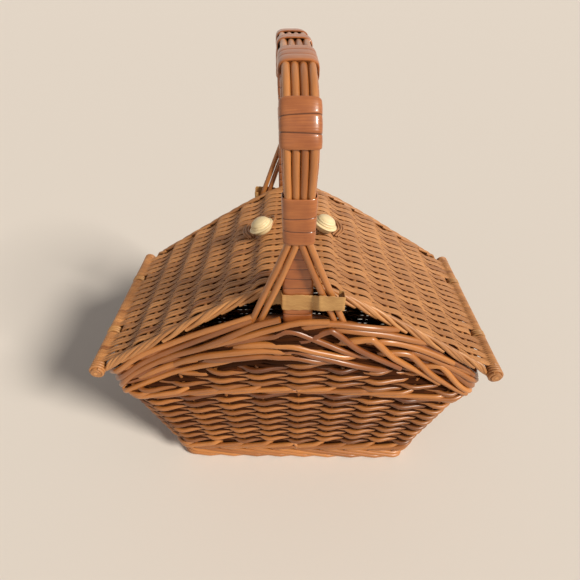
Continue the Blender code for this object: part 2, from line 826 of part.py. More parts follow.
def brace_at(index, level):
    """Across and outward place of a brace at a level, counted from the handle's middle."""
    path = brace_path(index, 0.0)
    for above, below in zip(path, path[1:]):
        if above[2] >= level >= below[2]:
            share = (above[2] - level) / (above[2] - below[2])
            return abs(lerp(above[0], below[0], share)), abs(lerp(above[1], below[1], share))
    return abs(path[-1][0]), abs(path[-1][1])


def ribbon(path, low, high, thickness):
    """Upright ribbon over plan points, with even thickness."""
    rings = []
    for index, point in enumerate(path):
        before = Vector(path[max(0, index - 1)])
        after = Vector(path[min(len(path) - 1, index + 1)])
        here = Vector(point)
        into = (here - before).normalized() if index else (after - here).normalized()
        away = (after - here).normalized() if index < len(path) - 1 else into
        along = (into + away).normalized()
        normal = Vector((-along.y, along.x))
        stretch = 1.0 / max(0.5, along.dot(into))
        off = normal * (thickness / 2 * stretch)
        a = here + off
        b = here - off
        rings.append([(a.x, a.y, low), (b.x, b.y, low), (b.x, b.y, high), (a.x, a.y, high)])
    return rings


def make_tie(name, side, shift):
    low = tie_level() - TIE_HEIGHT / 2
    rings = ribbon(tie_path(shift), low, low + TIE_HEIGHT, TIE_THICKNESS)
    finish(name, skin([turned_about_z(ring, side) for ring in rings]), PALE_CANE)


# Lids

def pivot_x():
    return PIVOT_SPAN / 2


def lid_outer():
    """Where the weave stops next to the pivot stick."""
    return pivot_x() - PIVOT_STICK / 2 - GAP


def lid_inner():
    """Where the weave stops next to the ridge stick."""
    return RIDGE_GAP / 2 + RIDGE_STICK + GAP


def lid_stations():
    """Distances from the ridge, closer together on the crown."""
    inner = lid_inner()
    outer = lid_outer()
    return [lerp(inner, outer, (step / LID_STEPS) ** 1.4) for step in range(LID_STEPS + 1)]


def panel_reach():
    return LID_WIDTH / 2 - BINDING_WIDTH - GAP


def make_lid(word, side):
    """One lid: woven panel, pivot stick, ridge stick, two bindings and its knob."""
    hinge = bpy.data.objects.new(f"lid_{word}_hinge", None)
    hinge.location = (side * pivot_x(), 0.0, PIVOT_HEIGHT)
    bpy.context.scene.collection.objects.link(hinge)
    pieces = [make_panel(word, side)]
    pieces += make_lid_sticks(word, side)
    for end, turn in (("near", -1), ("far", 1)):
        pieces.append(make_binding(word, side, end, turn))
    pieces += make_knob(word, side)
    for piece in pieces:
        piece.parent = hinge
        piece.matrix_parent_inverse = Matrix.Translation(-Vector(hinge.location))
    return pieces


def weave_thickness(x, y, stake, row, share, side):
    """Thickness of a lid where a row passes over a stake or under it."""
    seat = KNOB_WIDTH / 2
    if abs(x - knob_inset(side)) < seat and abs(y) < seat:
        return LID_THICKNESS
    if share == 0.0:
        return LID_THICKNESS - LID_HOLLOW / 2
    return LID_THICKNESS - LID_HOLLOW * ((stake + row) % 2)


def weave_ring(x, stake, share, side):
    """Cross-section of a lid: a plain underside, and a step from each row to the next on top."""
    reach = panel_reach()
    low = lid_under(x)
    pitch = 2 * reach / LID_ROWS
    ring = [(side * x, -reach, low), (side * x, reach, low)]
    for row in range(LID_ROWS):
        far = reach - row * pitch
        high = low + weave_thickness(x, far - pitch / 2, stake, row, share, side)
        ring += [(side * x, far, high), (side * x, far - pitch, high)]
    return ring


def weave_rings(side):
    rings = []
    for stake in range(LID_STAKES):
        for share in WEAVE_BEND_SHARES:
            x = lerp(lid_inner(), lid_outer(), (stake + share) / LID_STAKES)
            rings.append(weave_ring(x, stake, share, side))
    rings.append(weave_ring(lid_outer(), LID_STAKES, 0.0, side))
    return rings


def merge_doubles(mesh):
    bm = bmesh.new()
    bm.from_mesh(mesh)
    bmesh.ops.remove_doubles(bm, verts=bm.verts, dist=GAP / 10)
    bmesh.ops.recalc_face_normals(bm, faces=bm.faces)
    bm.to_mesh(mesh)
    bm.free()
    return mesh


def make_panel(word, side):
    mesh = merge_doubles(skin(weave_rings(side)))
    panel = finish(f"lid_{word}_panel", mesh, LID_WILLOW, smooth=math.radians(30))
    inner = lid_outer() - EAR_DEPTH
    outer = lid_outer() + OVERRUN
    ear = LID_WIDTH / 2 - EAR_LENGTH
    low_z = lid_under(outer) - OVERRUN
    high_z = lid_under(inner) + LID_THICKNESS + OVERRUN
    low = (min(side * inner, side * outer), -ear, low_z)
    high = (max(side * inner, side * outer), ear, high_z)
    cut(panel, block(f"lid_{word}_notch", low, high))
    foot, top = knob_line(side)
    way = (top - foot).normalized()
    start = foot - way * (2 * LID_THICKNESS)
    cut(panel, drill(f"lid_{word}_knob_hole", start, top, hole_width(STEM_WIDTH)))
    return panel


def stick_between(name, x, z, near, far, width, paint):
    """Straight stick along the basket's width."""
    return tube(name, [(x, -near, z), (x, far, z)], width, paint)


def make_lid_sticks(word, side):
    pivot = stick_between(
        f"lid_{word}_pivot_stick", side * pivot_x(), PIVOT_HEIGHT,
        LID_WIDTH / 2 + PIVOT_STICK_NEAR_END, LID_WIDTH / 2 - PIVOT_STICK_FAR_END, PIVOT_STICK,
        LID_WILLOW,
    )
    ridge_x = RIDGE_GAP / 2 + RIDGE_STICK / 2
    ridge = stick_between(
        f"lid_{word}_ridge_stick", side * ridge_x, lid_under(ridge_x) + LID_THICKNESS / 2,
        LID_WIDTH / 2, LID_WIDTH / 2, RIDGE_STICK, LID_WILLOW,
    )
    return [pivot, ridge]


def make_binding(word, side, end, turn):
    middle = LID_WIDTH / 2 - BINDING_WIDTH / 2
    rings = []
    for x in lid_stations():
        low = lid_under(x)
        ring = []
        for across, up in BINDING_SHARES:
            ring.append((side * x, turn * (middle + across * BINDING_WIDTH), low + up * LID_THICKNESS))
        rings.append(ring)
    return finish(f"lid_{word}_binding_{end}", skin(rings), LID_WILLOW)


def knob_inset(side):
    return KNOB_INSET_LEFT if side < 0 else KNOB_INSET_RIGHT


def knob_line(side):
    """Foot and top of the knob, square to the lid."""
    x = knob_inset(side)
    tilt = lid_tilt(x)
    seat = LID_THICKNESS + KNOB_WIDTH / 4 * math.tan(tilt) * (1 - math.cos(tilt)) + 2 * GAP
    foot = Vector((side * x, 0.0, lid_under(x) + seat))
    way = Vector((side * math.sin(tilt), 0.0, math.cos(tilt)))
    return foot, foot + way * KNOB_HEIGHT


def crown_sag(x, reach):
    """How far the crowned lid drops below its own tangent at a reach to either side."""
    slope = -math.tan(lid_tilt(x))
    drops = [lid_under(x) + slope * off - lid_under(x + off) for off in (-reach, reach)]
    return max(drops)


def spin_profile(name, profile, place, paint):
    """Turned piece from a radius and height profile."""
    bm = bmesh.new()
    verts = [bm.verts.new((radius, 0.0, height)) for radius, height in profile]
    edges = [bm.edges.new(pair) for pair in zip(verts, verts[1:])]
    bmesh.ops.spin(
        bm, geom=verts + edges, angle=2 * math.pi, steps=TURN_STEPS, axis=(0.0, 0.0, 1.0),
        cent=(0.0, 0.0, 0.0),
    )
    bmesh.ops.remove_doubles(bm, verts=bm.verts, dist=GAP / 10)
    bmesh.ops.recalc_face_normals(bm, faces=bm.faces)
    mesh = bpy.data.meshes.new(name)
    bm.to_mesh(mesh)
    bm.free()
    mesh.transform(place)
    return finish(name, mesh, paint)


def make_knob(word, side):
    foot, top = knob_line(side)
    turn = (top - foot).to_track_quat("Z", "Y").to_matrix().to_4x4()
    place = Matrix.Translation(foot) @ turn
    stem = STEM_WIDTH / 2
    tilt = lid_tilt(knob_inset(side))
    through = LID_THICKNESS * math.cos(tilt)
    depth = through + STEM_END
    profile = [(0.0, -depth), (stem, -depth), (stem, 0.0)]
    profile += [(radius * KNOB_WIDTH / 2, up * KNOB_HEIGHT) for radius, up in KNOB_SHARES]
    knob = spin_profile(f"lid_{word}_knob", profile, place, BEECH)
    bore = hole_width(STEM_WIDTH) / 2
    high = -through - 5 * GAP - crown_sag(knob_inset(side), COLLAR_WIDTH / 2)
    low = high - COLLAR_HEIGHT
    rim = COLLAR_WIDTH / 2
    ring = [(bore, low), (rim, low), (rim, high), (bore, high), (bore, low)]
    collar = spin_profile(f"lid_{word}_knob_collar", ring, place, CANE)
    return [knob, collar]


# Cane loops that carry the pivot sticks

def make_loop(name, side, turn):
    radius = PIVOT_STICK / 2 / math.cos(math.pi / rod_sides()) + LOOP_SLACK + LOOP_THICKNESS / 2
    centre_x = pivot_x()
    face = BORDER_LENGTH / 2 + GAP + LOOP_THICKNESS / 2
    start = math.asin((face - centre_x) / radius)
    sweep = 2 * math.pi - (LOOP_THICKNESS + 2 * GAP) / radius - abs(start) * 2
    points = [(face, PIVOT_HEIGHT - radius - LOOP_TAIL), (face, PIVOT_HEIGHT - radius * 1.15)]
    for step in range(TURN_STEPS + 1):
        angle = start + sweep * step / TURN_STEPS
        points.append((centre_x + radius * math.sin(angle), PIVOT_HEIGHT - radius * math.cos(angle)))
    middle = turn * (LID_WIDTH / 2 - EAR_LENGTH - LOOP_WIDTH / 2 - 5 * GAP)
    rings = ribbon(points, middle - LOOP_WIDTH / 2, middle + LOOP_WIDTH / 2, LOOP_THICKNESS)
    placed = [[(side * x, y, z) for x, z, y in ring] for ring in rings]
    finish(name, skin(placed), PALE_CANE)


def make_body():
    make_base()
    rope_ring(
        "middle_waling", WAIST_HEIGHT - WALING_HEIGHT / 2, WALING_HEIGHT, WALING_THICKNESS,
        BORDER_WILLOW, waist_level,
    )
    make_long_wall("wall_near", -1)
    make_long_wall("wall_far", 1)
    make_end_wall("wall_left", -1)
    make_end_wall("wall_right", 1)
    for long_word, side_y in (("near", -1), ("far", 1)):
        for end_word, side_x in (("left", -1), ("right", 1)):
            make_wall_corner(f"wall_corner_{long_word}_{end_word}", side_x, side_y)
    make_gusset("gusset_near", -1)
    make_gusset("gusset_far", 1)
    make_end_border("border_left", -1)
    make_end_border("border_right", 1)


def make_handle():
    make_bow()
    make_face_sticks()
    make_bands()
    feet = (("near", -1, HANDLE_NEAR_SHIFT), ("far", 1, -HANDLE_FAR_SHIFT))
    for word, side, shift in feet:
        make_long_border(f"border_{word}", side, shift)
        make_braces(side, shift, word)
        make_tie(f"handle_tie_{word}", side, shift)


def main():
    for obj in list(bpy.data.objects):
        bpy.data.objects.remove(obj)
    make_body()
    make_handle()
    for word, side in (("left", -1), ("right", 1)):
        make_lid(word, side)
        for end, turn in (("near", -1), ("far", 1)):
            make_loop(f"hinge_loop_{word}_{end}", side, turn)


main()
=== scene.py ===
# %% [markdown]
# # A willow basket with two lids
#
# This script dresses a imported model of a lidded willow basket. The model gives the
# frame: every piece made here is in metres, in the same place as the solid it stands for.
# The weave is modelled rod by rod, because on a basket the weave is the shape.

# %% Load the frame
import math
import random

import bmesh
import bpy
import numpy as np
from mathutils import Matrix, Vector


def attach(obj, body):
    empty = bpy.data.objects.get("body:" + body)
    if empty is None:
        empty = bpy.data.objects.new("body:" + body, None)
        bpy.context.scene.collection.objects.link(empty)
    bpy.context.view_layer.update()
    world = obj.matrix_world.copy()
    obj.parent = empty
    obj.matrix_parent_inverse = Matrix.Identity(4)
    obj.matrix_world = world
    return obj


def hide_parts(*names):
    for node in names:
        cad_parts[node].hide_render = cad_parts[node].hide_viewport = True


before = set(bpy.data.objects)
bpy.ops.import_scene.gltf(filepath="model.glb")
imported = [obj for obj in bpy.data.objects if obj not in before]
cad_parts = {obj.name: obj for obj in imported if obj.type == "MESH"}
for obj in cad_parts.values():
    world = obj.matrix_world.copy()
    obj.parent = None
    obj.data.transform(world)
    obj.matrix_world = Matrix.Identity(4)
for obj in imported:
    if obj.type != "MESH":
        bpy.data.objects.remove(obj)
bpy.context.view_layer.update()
dice = random.Random(7)
MM = 0.001
print("nodes in the frame:", len(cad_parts))

# %% [markdown]
# ## Camera
#
# The camera stands above the near side of the basket and looks down at it. Its place
# and its focal length were found by matching corners of the model with the photograph.

# %% Camera
IMAGE_SIZE = 580
FOCAL_PIXELS = 421.6
CAMERA_PLACE = (-0.0029, -0.3769, 0.5111)
CAMERA_PITCH = 38.21
CAMERA_YAW = 0.56
CAMERA_ROLL = 0.20


def make_camera():
    data = bpy.data.cameras.new("camera")
    data.sensor_width = 36.0
    data.sensor_fit = "HORIZONTAL"
    data.lens = data.sensor_width * FOCAL_PIXELS / IMAGE_SIZE
    data.clip_start = 0.01
    camera = bpy.data.objects.new("camera", data)
    bpy.context.scene.collection.objects.link(camera)
    yaw = Matrix.Rotation(math.radians(CAMERA_YAW), 4, "Z")
    pitch = Matrix.Rotation(math.radians(90 - CAMERA_PITCH), 4, "X")
    roll = Matrix.Rotation(math.radians(CAMERA_ROLL), 4, "Z")
    camera.matrix_world = Matrix.Translation(CAMERA_PLACE) @ yaw @ pitch @ roll
    bpy.context.scene.camera = camera
    return camera


camera = make_camera()
print("camera lens:", round(camera.data.lens, 2), "mm")

# %% [markdown]
# ## Shape of the body
#
# The sizes here repeat the ones of the model's source, so that each rod follows the solid
# that it stands for. A basket of this kind flares from its base to its waist. Its outside
# is a rectangle with round corners at every level, so one rule gives it for any height.
# The waist rises a little in the middle of the long sides.

# %% Sizes of the body
GAP = 0.3 * MM
BASE_LENGTH = 276.0 * MM
BASE_WIDTH = 155.0 * MM
BASE_CORNER = 16.0 * MM
WAIST_LENGTH = 356.0 * MM
WAIST_WIDTH = 195.0 * MM
WAIST_CORNER = 18.0 * MM
WAIST_HEIGHT = 148.0 * MM
WAIST_RISE = 13.0 * MM
WALING = 12.0 * MM
WALL = 8.0 * MM


def lerp(start, end, share):
    return start + (end - start) * share


def clamp(share):
    return min(1.0, max(0.0, share))


def body_half(height):
    """Half length, half width and corner radius of the body's outside at a height."""
    share = height / WAIST_HEIGHT
    return (
        lerp(BASE_LENGTH, WAIST_LENGTH, share) / 2,
        lerp(BASE_WIDTH, WAIST_WIDTH, share) / 2,
        lerp(BASE_CORNER, WAIST_CORNER, share),
    )


def waist_level(x):
    half = WAIST_LENGTH / 2 - WAIST_CORNER
    share = min(1.0, abs(x) / half)
    return WAIST_HEIGHT + WAIST_RISE * (1 - share * share)


print("waist in the middle of a long side:", round(waist_level(0.0), 4))

# %% [markdown]
# ## Shape of the lids
#
# The two lids make a roof over the basket. Seen from an end it is a hyperbola, nearly
# straight down the slopes and round at the ridge. It could be traced as a curve, but a
# formula gives the level and the tilt at any distance from the ridge, and every piece on
# a lid needs both.

# %% Sizes of the lids
LID_WIDTH = 200.0 * MM
LID_THICKNESS = 10.0 * MM
LID_RIDGE = 289.2 * MM
LID_CROWN = 30.0 * MM
PIVOT_X = 196.5 * MM
PIVOT_HEIGHT = 189.3 * MM
PIVOT_STICK = 10.4 * MM
LID_OUTER = PIVOT_X - PIVOT_STICK / 2 - GAP
LID_FALL = (LID_RIDGE + LID_THICKNESS / 2 - PIVOT_HEIGHT) / (
    math.hypot(LID_OUTER, LID_CROWN) - LID_CROWN
)


def lid_under(x):
    return LID_RIDGE - LID_FALL * (math.hypot(x, LID_CROWN) - LID_CROWN)


def lid_middle(x):
    return lid_under(x) + LID_THICKNESS / 2


def lid_tilt(x):
    return math.atan(LID_FALL * abs(x) / math.hypot(x, LID_CROWN))


print("lid falls", round(LID_FALL, 3), "for each unit of run")

# %% [markdown]
# ## Shape of the border
#
# The border runs along under the lids and dips below the ridge, where the handle goes
# down into it. There it swells to hold the handle's bow. Its foot arches over the
# gussets, the woven fillings of the long sides. Rules for its top, its foot and its
# thickness at any distance from the middle keep all the rods on it.

# %% Sizes of the border
BORDER_LENGTH = 388.0 * MM
BORDER_WIDTH = 209.0 * MM
BORDER_CORNER = 14.0 * MM
BORDER_THICKNESS = 12.0 * MM
BORDER_END_DROP = 4.0 * MM
BORDER_DROP_LENGTH = 30.0 * MM
LID_CENTRE_GAP = 24.0 * MM
LID_CENTRE_GAP_LENGTH = 190.0 * MM
GUSSET_RISE = 68.0 * MM
GUSSET_END = 2.5 * MM
HANDLE_SPAN = 210.0 * MM
BOW_THICKNESS = 9.0 * MM
SOCKET_WALL = 6.2 * MM
BRACE_FOOT = 38.5 * MM
BORDER_REACH = BORDER_LENGTH / 2 - BORDER_THICKNESS / 2 - BORDER_CORNER
HALF_DEPTH = BORDER_WIDTH / 2 - BORDER_THICKNESS / 2


def border_top(x):
    x = abs(x)
    middle = max(0.0, 1 - (2 * x / LID_CENTRE_GAP_LENGTH) ** 2)
    past = max(0.0, x - (BORDER_REACH - BORDER_DROP_LENGTH)) / BORDER_DROP_LENGTH
    return lid_under(x) - GAP - LID_CENTRE_GAP * middle ** 2 - BORDER_END_DROP * past ** 2


def border_foot(x):
    share = min(1.0, abs(x) / BORDER_REACH)
    over = WALING / 2 + GUSSET_END + 2 * GAP
    foot = lerp(WAIST_HEIGHT + GUSSET_RISE + GAP, WAIST_HEIGHT + over, share ** 1.35)
    return max(foot, waist_level(x) + over)


def border_swell(x):
    share = clamp((abs(x) - BRACE_FOOT) / (LID_CENTRE_GAP_LENGTH / 2))
    return (1 - share) ** 2 * (1 + 2 * share)


def border_thickness(x):
    held = BOW_THICKNESS + 2 * GAP + 2 * SOCKET_WALL
    return lerp(BORDER_THICKNESS, held, border_swell(x))


def border_line(x):
    return lerp(HALF_DEPTH, HANDLE_SPAN / 2, border_swell(x))


def border_foot_line(x):
    return lerp(WAIST_WIDTH / 2 - WALL / 2 + GAP, HANDLE_SPAN / 2 - GAP, border_swell(x))


print("border top at the handle:", round(border_top(0.0), 4))

# %% [markdown]
# ## Colours and shader nodes
#
# Colours are given as they look on a screen, and a shader wants linear values, so
# one function turns them over. The materials of a basket are all built alike: fine grain
# in the direction of the fibre, and paler and darker patches. Small helpers add these
# nodes, so that each material shows only what sets it apart.

# %% Shader nodes
def paint(red, green, blue):
    """Colour as it is seen on a screen, from 0 to 255, as the shader's linear values."""
    out = []
    for value in (red, green, blue):
        value /= 255
        out.append(value / 12.92 if value <= 0.04045 else ((value + 0.055) / 1.055) ** 2.4)
    return (*out, 1.0)


def new_material(name):
    material = bpy.data.materials.new(name)
    material.use_nodes = True
    print("material:", name)
    return material, material.node_tree, material.node_tree.nodes["Principled BSDF"]


def set_inputs(tree, node, inputs):
    """Sets each input to a value, or links it to another node's socket."""
    for key, value in inputs.items():
        if isinstance(value, bpy.types.NodeSocket):
            tree.links.new(value, node.inputs[key])
        else:
            node.inputs[key].default_value = value


def add_node(tree, kind, inputs, output, **settings):
    """Adds a node and returns one of its outputs."""
    node = tree.nodes.new("ShaderNode" + kind)
    for key, value in settings.items():
        setattr(node, key, value)
    set_inputs(tree, node, inputs)
    return node.outputs[output]


def add_attribute(tree, name):
    return add_node(tree, "Attribute", {}, "Fac", attribute_name=name)


def add_noise(tree, vector, scale, detail):
    return add_node(tree, "TexNoise", {"Vector": vector, "Scale": scale, "Detail": detail}, "Fac")


def add_patches(tree, scale):
    return add_noise(tree, add_node(tree, "TexCoord", {}, "Object"), scale, 3.0)


def add_grain(tree, shader, vector, stretch):
    """Fine lines, which are also felt as a slight relief."""
    stretched = add_node(tree, "Mapping", {"Vector": vector, "Scale": stretch}, "Vector")
    grain = add_noise(tree, stretched, 1.0, 4.0)
    bump = {"Height": grain, "Strength": 0.25, "Distance": 0.0004}
    set_inputs(tree, shader, {"Normal": add_node(tree, "Bump", bump, "Normal")})
    return grain


def add_ramp(tree, factor, colours):
    """Ramp through colours at even places."""
    ramp = tree.nodes.new("ShaderNodeValToRGB")
    set_inputs(tree, ramp, {"Fac": factor})
    stops = ramp.color_ramp.elements
    for index in range(1, len(colours) - 1):
        stops.new(index / (len(colours) - 1))
    for stop, colour in zip(stops, colours):
        stop.color = colour
    return ramp.outputs["Color"]


# %% [markdown]
# ## Willow
#
# Willow rods keep a thin sheen over fine grain that runs along them. No two rods of a
# basket have the same colour, and no rod has one colour from end to end. Each rod carries
# its own tone as a face attribute, and its UV map runs along the rod in metres, so the
# grain follows every bend. One recipe serves all kinds of rod with other colours.

# %% Willow material
def willow(name, dark, light, stain, roughness, coat, streak=1.0, specular=0.5):
    """A tone for each rod, shifted in patches, with stained grain along it."""
    material, tree, shader = new_material(name)
    dark, light, stain = paint(*dark), paint(*light), paint(*stain)
    along = add_node(tree, "UVMap", {}, "UV")
    grain = add_grain(tree, shader, along, (90.0, 1100.0, 1.0))
    shift = {0: add_patches(tree, 38.0), 1: 0.3, 2: add_attribute(tree, "tone")}
    shifted = add_node(tree, "Math", shift, "Value", operation="MULTIPLY_ADD")
    tone = add_node(tree, "Math", {0: shifted, 1: 0.15}, "Value", operation="SUBTRACT")
    middle = tuple(lerp(a, b, 0.55) for a, b in zip(dark, light))
    colour = add_ramp(tree, tone, (dark, middle, light))
    stripes = {"Value": grain, "From Min": 0.35, "From Max": 0.75, "To Max": 0.4 * streak}
    streaks = add_node(tree, "MapRange", stripes, "Result")
    sheen = {"Value": grain, "To Min": roughness - 0.1, "To Max": roughness + 0.14}
    stained = {"Factor": streaks, "A": colour, "B": stain}
    set_inputs(tree, shader, {
        "Base Color": add_node(tree, "Mix", stained, "Result", data_type="RGBA"),
        "Roughness": add_node(tree, "MapRange", sheen, "Result"),
        "Coat Weight": coat,
        "Coat Roughness": 0.28,
        "Specular IOR Level": specular,
    })
    return material


BODY_WILLOW = willow("body willow", (102, 54, 20), (192, 122, 60), (66, 30, 10), 0.42, 0.22)
BORDER_WILLOW = willow(
    "border willow", (118, 60, 22), (210, 138, 70), (84, 38, 12), 0.34, 0.3, streak=0.7
)
LID_WILLOW = willow("lid willow", (136, 82, 40), (214, 152, 92), (100, 56, 26), 0.48, 0.14)
STICK_WILLOW = willow(
    "handle stick", (138, 76, 32), (202, 134, 72), (98, 48, 18), 0.34, 0.3, streak=0.7
)
# Painted shade: a near-black willow for rods that stand for the shade in the gaps of the weave.
SHADE_WILLOW = willow(
    "painted shade willow", (40, 18, 5), (86, 42, 14), (30, 13, 4), 0.9, 0.0, specular=0.1
)

# %% [markdown]
# ## Rods
#
# A rod is a curve with a round bevel. All rods of one piece are turned into meshes one
# after the other and joined, each with its tone, and with UVs stretched to its real
# length. A curve is the right tool here: its bevel keeps a rod round through any bend.

# %% Rods from curves
def rod_length(points):
    return sum(math.dist(a, b) for a, b in zip(points, points[1:]))


def stretch_uvs(mesh, length, width):
    layer = mesh.uv_layers[0]
    values = np.zeros(len(mesh.loops) * 2)
    layer.data.foreach_get("uv", values)
    values[0::2] = values[0::2] * length + dice.uniform(0, 3)
    values[1::2] = values[1::2] * width * math.pi + dice.uniform(0, 1)
    layer.data.foreach_set("uv", values)


def add_object(name, bm, material, sharp=None):
    """Object from a bmesh, shaded smooth apart from edges over an angle in degrees."""
    mesh = bpy.data.meshes.new(name)
    bm.to_mesh(mesh)
    bm.free()
    if sharp:
        mesh.shade_smooth()
        mesh.set_sharp_from_angle(angle=math.radians(sharp))
    mesh.materials.append(material)
    obj = bpy.data.objects.new(name, mesh)
    bpy.context.scene.collection.objects.link(obj)
    return obj


def make_rods(name, rods, material, sides=8):
    """One mesh object from rods, each a dict of points, width, tone and closed."""
    curve = bpy.data.curves.new(name, "CURVE")
    curve.dimensions = "3D"
    curve.bevel_depth = 1.0
    curve.bevel_resolution = (sides - 4) // 2
    curve.use_fill_caps = True
    holder = bpy.data.objects.new(name + "_curve", curve)
    bm = bmesh.new()
    for rod in rods:
        points = rod["points"]
        widths = rod["width"]
        if isinstance(widths, float):
            widths = [widths] * len(points)
        curve.splines.clear()
        spline = curve.splines.new("POLY")
        spline.points.add(len(points) - 1)
        spline.points.foreach_set("co", [v for p in points for v in (*p, 1.0)])
        spline.points.foreach_set("radius", [w / 2 for w in widths])
        spline.use_cyclic_u = rod.get("closed", False)
        mesh = holder.to_mesh()
        stretch_uvs(mesh, rod_length(points), widths[0])
        tone = mesh.attributes.new("tone", "FLOAT", "FACE")
        tone.data.foreach_set("value", [rod["tone"]] * len(mesh.polygons))
        bm.from_mesh(mesh)
        holder.to_mesh_clear()
    bmesh.ops.remove_doubles(bm, verts=bm.verts, dist=1e-6)
    bpy.data.objects.remove(holder)
    bpy.data.curves.remove(curve)
    return add_object(name, bm, material, sharp=55)


def rod(points, width, tone=None, closed=False):
    if tone is None:
        tone = clamp(dice.gauss(0.5, 0.2))
    return {"points": points, "width": width, "tone": tone, "closed": closed}


def place_piece(obj, body, slot, *replaced):
    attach(obj, body)
    if replaced:
        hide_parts(*replaced)
    print(obj.name, "with", len(obj.data.polygons), "faces moves with", body)


ENDS = (("near", -1), ("far", 1))
LIDS = (("left", -1), ("right", 1))

# %% [markdown]
# ## Woven body
#
# Stakes stand round the body, and single rods pass in front of one stake and behind the
# next, with each row a stake out of step with the row below. Seen from above, the rods
# swing down where they come forward. The near and far walls rise in the middle, and the
# rows rise with them. Dark rods run inside the weave. A real basket has none: here they
# close the gaps that evenly drawn rows leave, and their dark colour is painted shade, as
# dark as the gaps in the photograph.

# %% Round the body
FOOT_HEIGHT = 20.0 * MM
LOW_WALING = 21.0 * MM
WALL_BOTTOM = FOOT_HEIGHT + LOW_WALING + GAP
STAKE_COUNT = 28
STAKE_PHASE = 0.0035
STEPS = 9
RING_STEPS = 3 * STAKE_COUNT


def ring_spot(share, height, outset):
    """Point and outward direction at a share of the way round, from the near middle."""
    half_length, half_width, corner = body_half(height)
    run_x = half_length - corner
    run_y = half_width - corner
    arc = corner * math.pi / 2
    run = ((share + STAKE_PHASE) % 1.0) * (4 * run_x + 4 * run_y + 4 * arc)
    legs = (
        (run_x, 0.0, -half_width, 1, 0), (2 * run_y, half_length, -run_y, 0, 1),
        (2 * run_x, run_x, half_width, -1, 0), (2 * run_y, -half_length, run_y, 0, -1),
        (run_x, -run_x, -half_width, 1, 0),
    )
    for index, (length, x, y, way_x, way_y) in enumerate(legs):
        if run <= length or index == len(legs) - 1:
            x, y, out = x + way_x * run, y + way_y * run, (way_y, -way_x)
            break
        run -= length
        if run <= arc:
            angle = run / corner + (index - 1) * math.pi / 2
            out = (math.cos(angle), math.sin(angle))
            x = (way_x + way_y) * run_x + corner * out[0]
            y = (way_y - way_x) * run_y + corner * out[1]
            break
        run -= arc
    return x + out[0] * outset, y + out[1] * outset, out


def level_ring(level, outset, width, tone=None):
    """Closed rod round the body at one level."""
    points = []
    for step in range(RING_STEPS):
        x, y, _ = ring_spot(step / RING_STEPS, level, outset)
        points.append((x, y, level))
    return rod(points, width, tone=tone, closed=True)


def swing(turn):
    """Out in front of one stake and in behind the next. A rod comes out quickly and goes in
    again slowly, so it is furthest out at a third of the way between its two crossings."""
    whole = math.floor(turn + 1 / 3)
    part = turn + 1 / 3 - whole
    wave = math.sin(math.pi * (part + 0.2 * math.sin(math.pi * part)))
    return -wave if whole % 2 else wave

print("stakes are about", round(4 * sum(body_half(0.0)[:2]) / STAKE_COUNT, 4), "apart at the base")

# %% Woven walls
WEAVE_ROWS = 16
WEAVE_ROD = 5.2 * MM
WEAVE_SWING = 4.7 * MM
WEAVE_OUTSET = -3.0 * MM
ROW_WOBBLE = 0.35 * MM
FILL_ROD = 5.0 * MM
LOW_FILLERS = 9
LOW_FILL_INSET = 3.5 * MM


def wall_level(share, share_up, outset):
    """Level at a share of the wall's height, where the waist rises in the middle."""
    x, _, _ = ring_spot(share, lerp(WALL_BOTTOM, WAIST_HEIGHT, share_up), outset)
    return lerp(WALL_BOTTOM, waist_level(x) - WALING / 2, share_up)


def body_row(row):
    wobble = [dice.uniform(-ROW_WOBBLE, ROW_WOBBLE) for _ in range(STAKE_COUNT + 1)]
    wobble[-1] = wobble[0]
    points = []
    for step in range(STAKE_COUNT * STEPS):
        stake, part = divmod(step, STEPS)
        share = step / (STAKE_COUNT * STEPS)
        level = wall_level(share, (row + 0.5) / WEAVE_ROWS, WEAVE_OUTSET)
        offset = WEAVE_SWING * swing(step / STEPS + row)
        x, y, _ = ring_spot(share, level, WEAVE_OUTSET + offset)
        level += lerp(wobble[stake], wobble[stake + 1], part / STEPS)
        points.append((x, y, level))
    return rod(points, WEAVE_ROD * dice.uniform(0.93, 1.04), closed=True)


def filler_rods():
    """Rods along the middle of the wall, and lower ones behind the foot, dark as painted shade."""
    rods = []
    for row in range(WEAVE_ROWS + 3):
        points = []
        for step in range(RING_STEPS):
            level = wall_level(step / RING_STEPS, row / WEAVE_ROWS, 0.0)
            x, y, _ = ring_spot(step / RING_STEPS, level, WEAVE_OUTSET)
            points.append((x, y, level))
        rods.append(rod(points, FILL_ROD, tone=0.3, closed=True))
    for row in range(LOW_FILLERS):
        level = (5.0 + 4.5 * row) * MM
        rods.append(level_ring(level, WEAVE_OUTSET - LOW_FILL_INSET, FILL_ROD, tone=0.3))
    return rods


# The fillers' dark colour is painted shade in the gaps of the weave.
place_piece(make_rods("body_fillers", filler_rods(), SHADE_WILLOW), "basket", "body_willow")
body_rows = [body_row(row) for row in range(WEAVE_ROWS)]
place_piece(
    make_rods("body_weave", body_rows, BODY_WILLOW), "basket", "body_willow",
    "wall_near", "wall_far", "wall_left", "wall_right",
    "wall_corner_near_left", "wall_corner_near_right", "wall_corner_far_left",
    "wall_corner_far_right",
)

# %% [markdown]
# ## Gussets
#
# On the long sides the border arches up to the handle, higher than the waist. A gusset is
# the weave that fills the arch. It is worked round the same stakes, which fan out as they
# rise, and its rows end where they meet the border. Each row here is a rod that tucks in
# behind the border, so no end has to be cut to fit.

# %% Gussets
GUSSET_ROWS = 8
GUSSET_PITCH = 6.5 * MM
GUSSET_OUTSET = 1.5 * MM
TUCK_REACH = 5 * MM
TUCK_LENGTH = 8 * MM
TUCK_DEPTH = 7 * MM


def gusset_line(x, level):
    """Distance of the gusset's middle from the basket's middle plane."""
    low = waist_level(x) + WALING / 2
    high = max(border_foot(x), low + GUSSET_END)
    share = min(1.6, (level - low) / (high - low))
    return lerp(body_half(low)[1] - WALL / 2, border_foot_line(x), share)


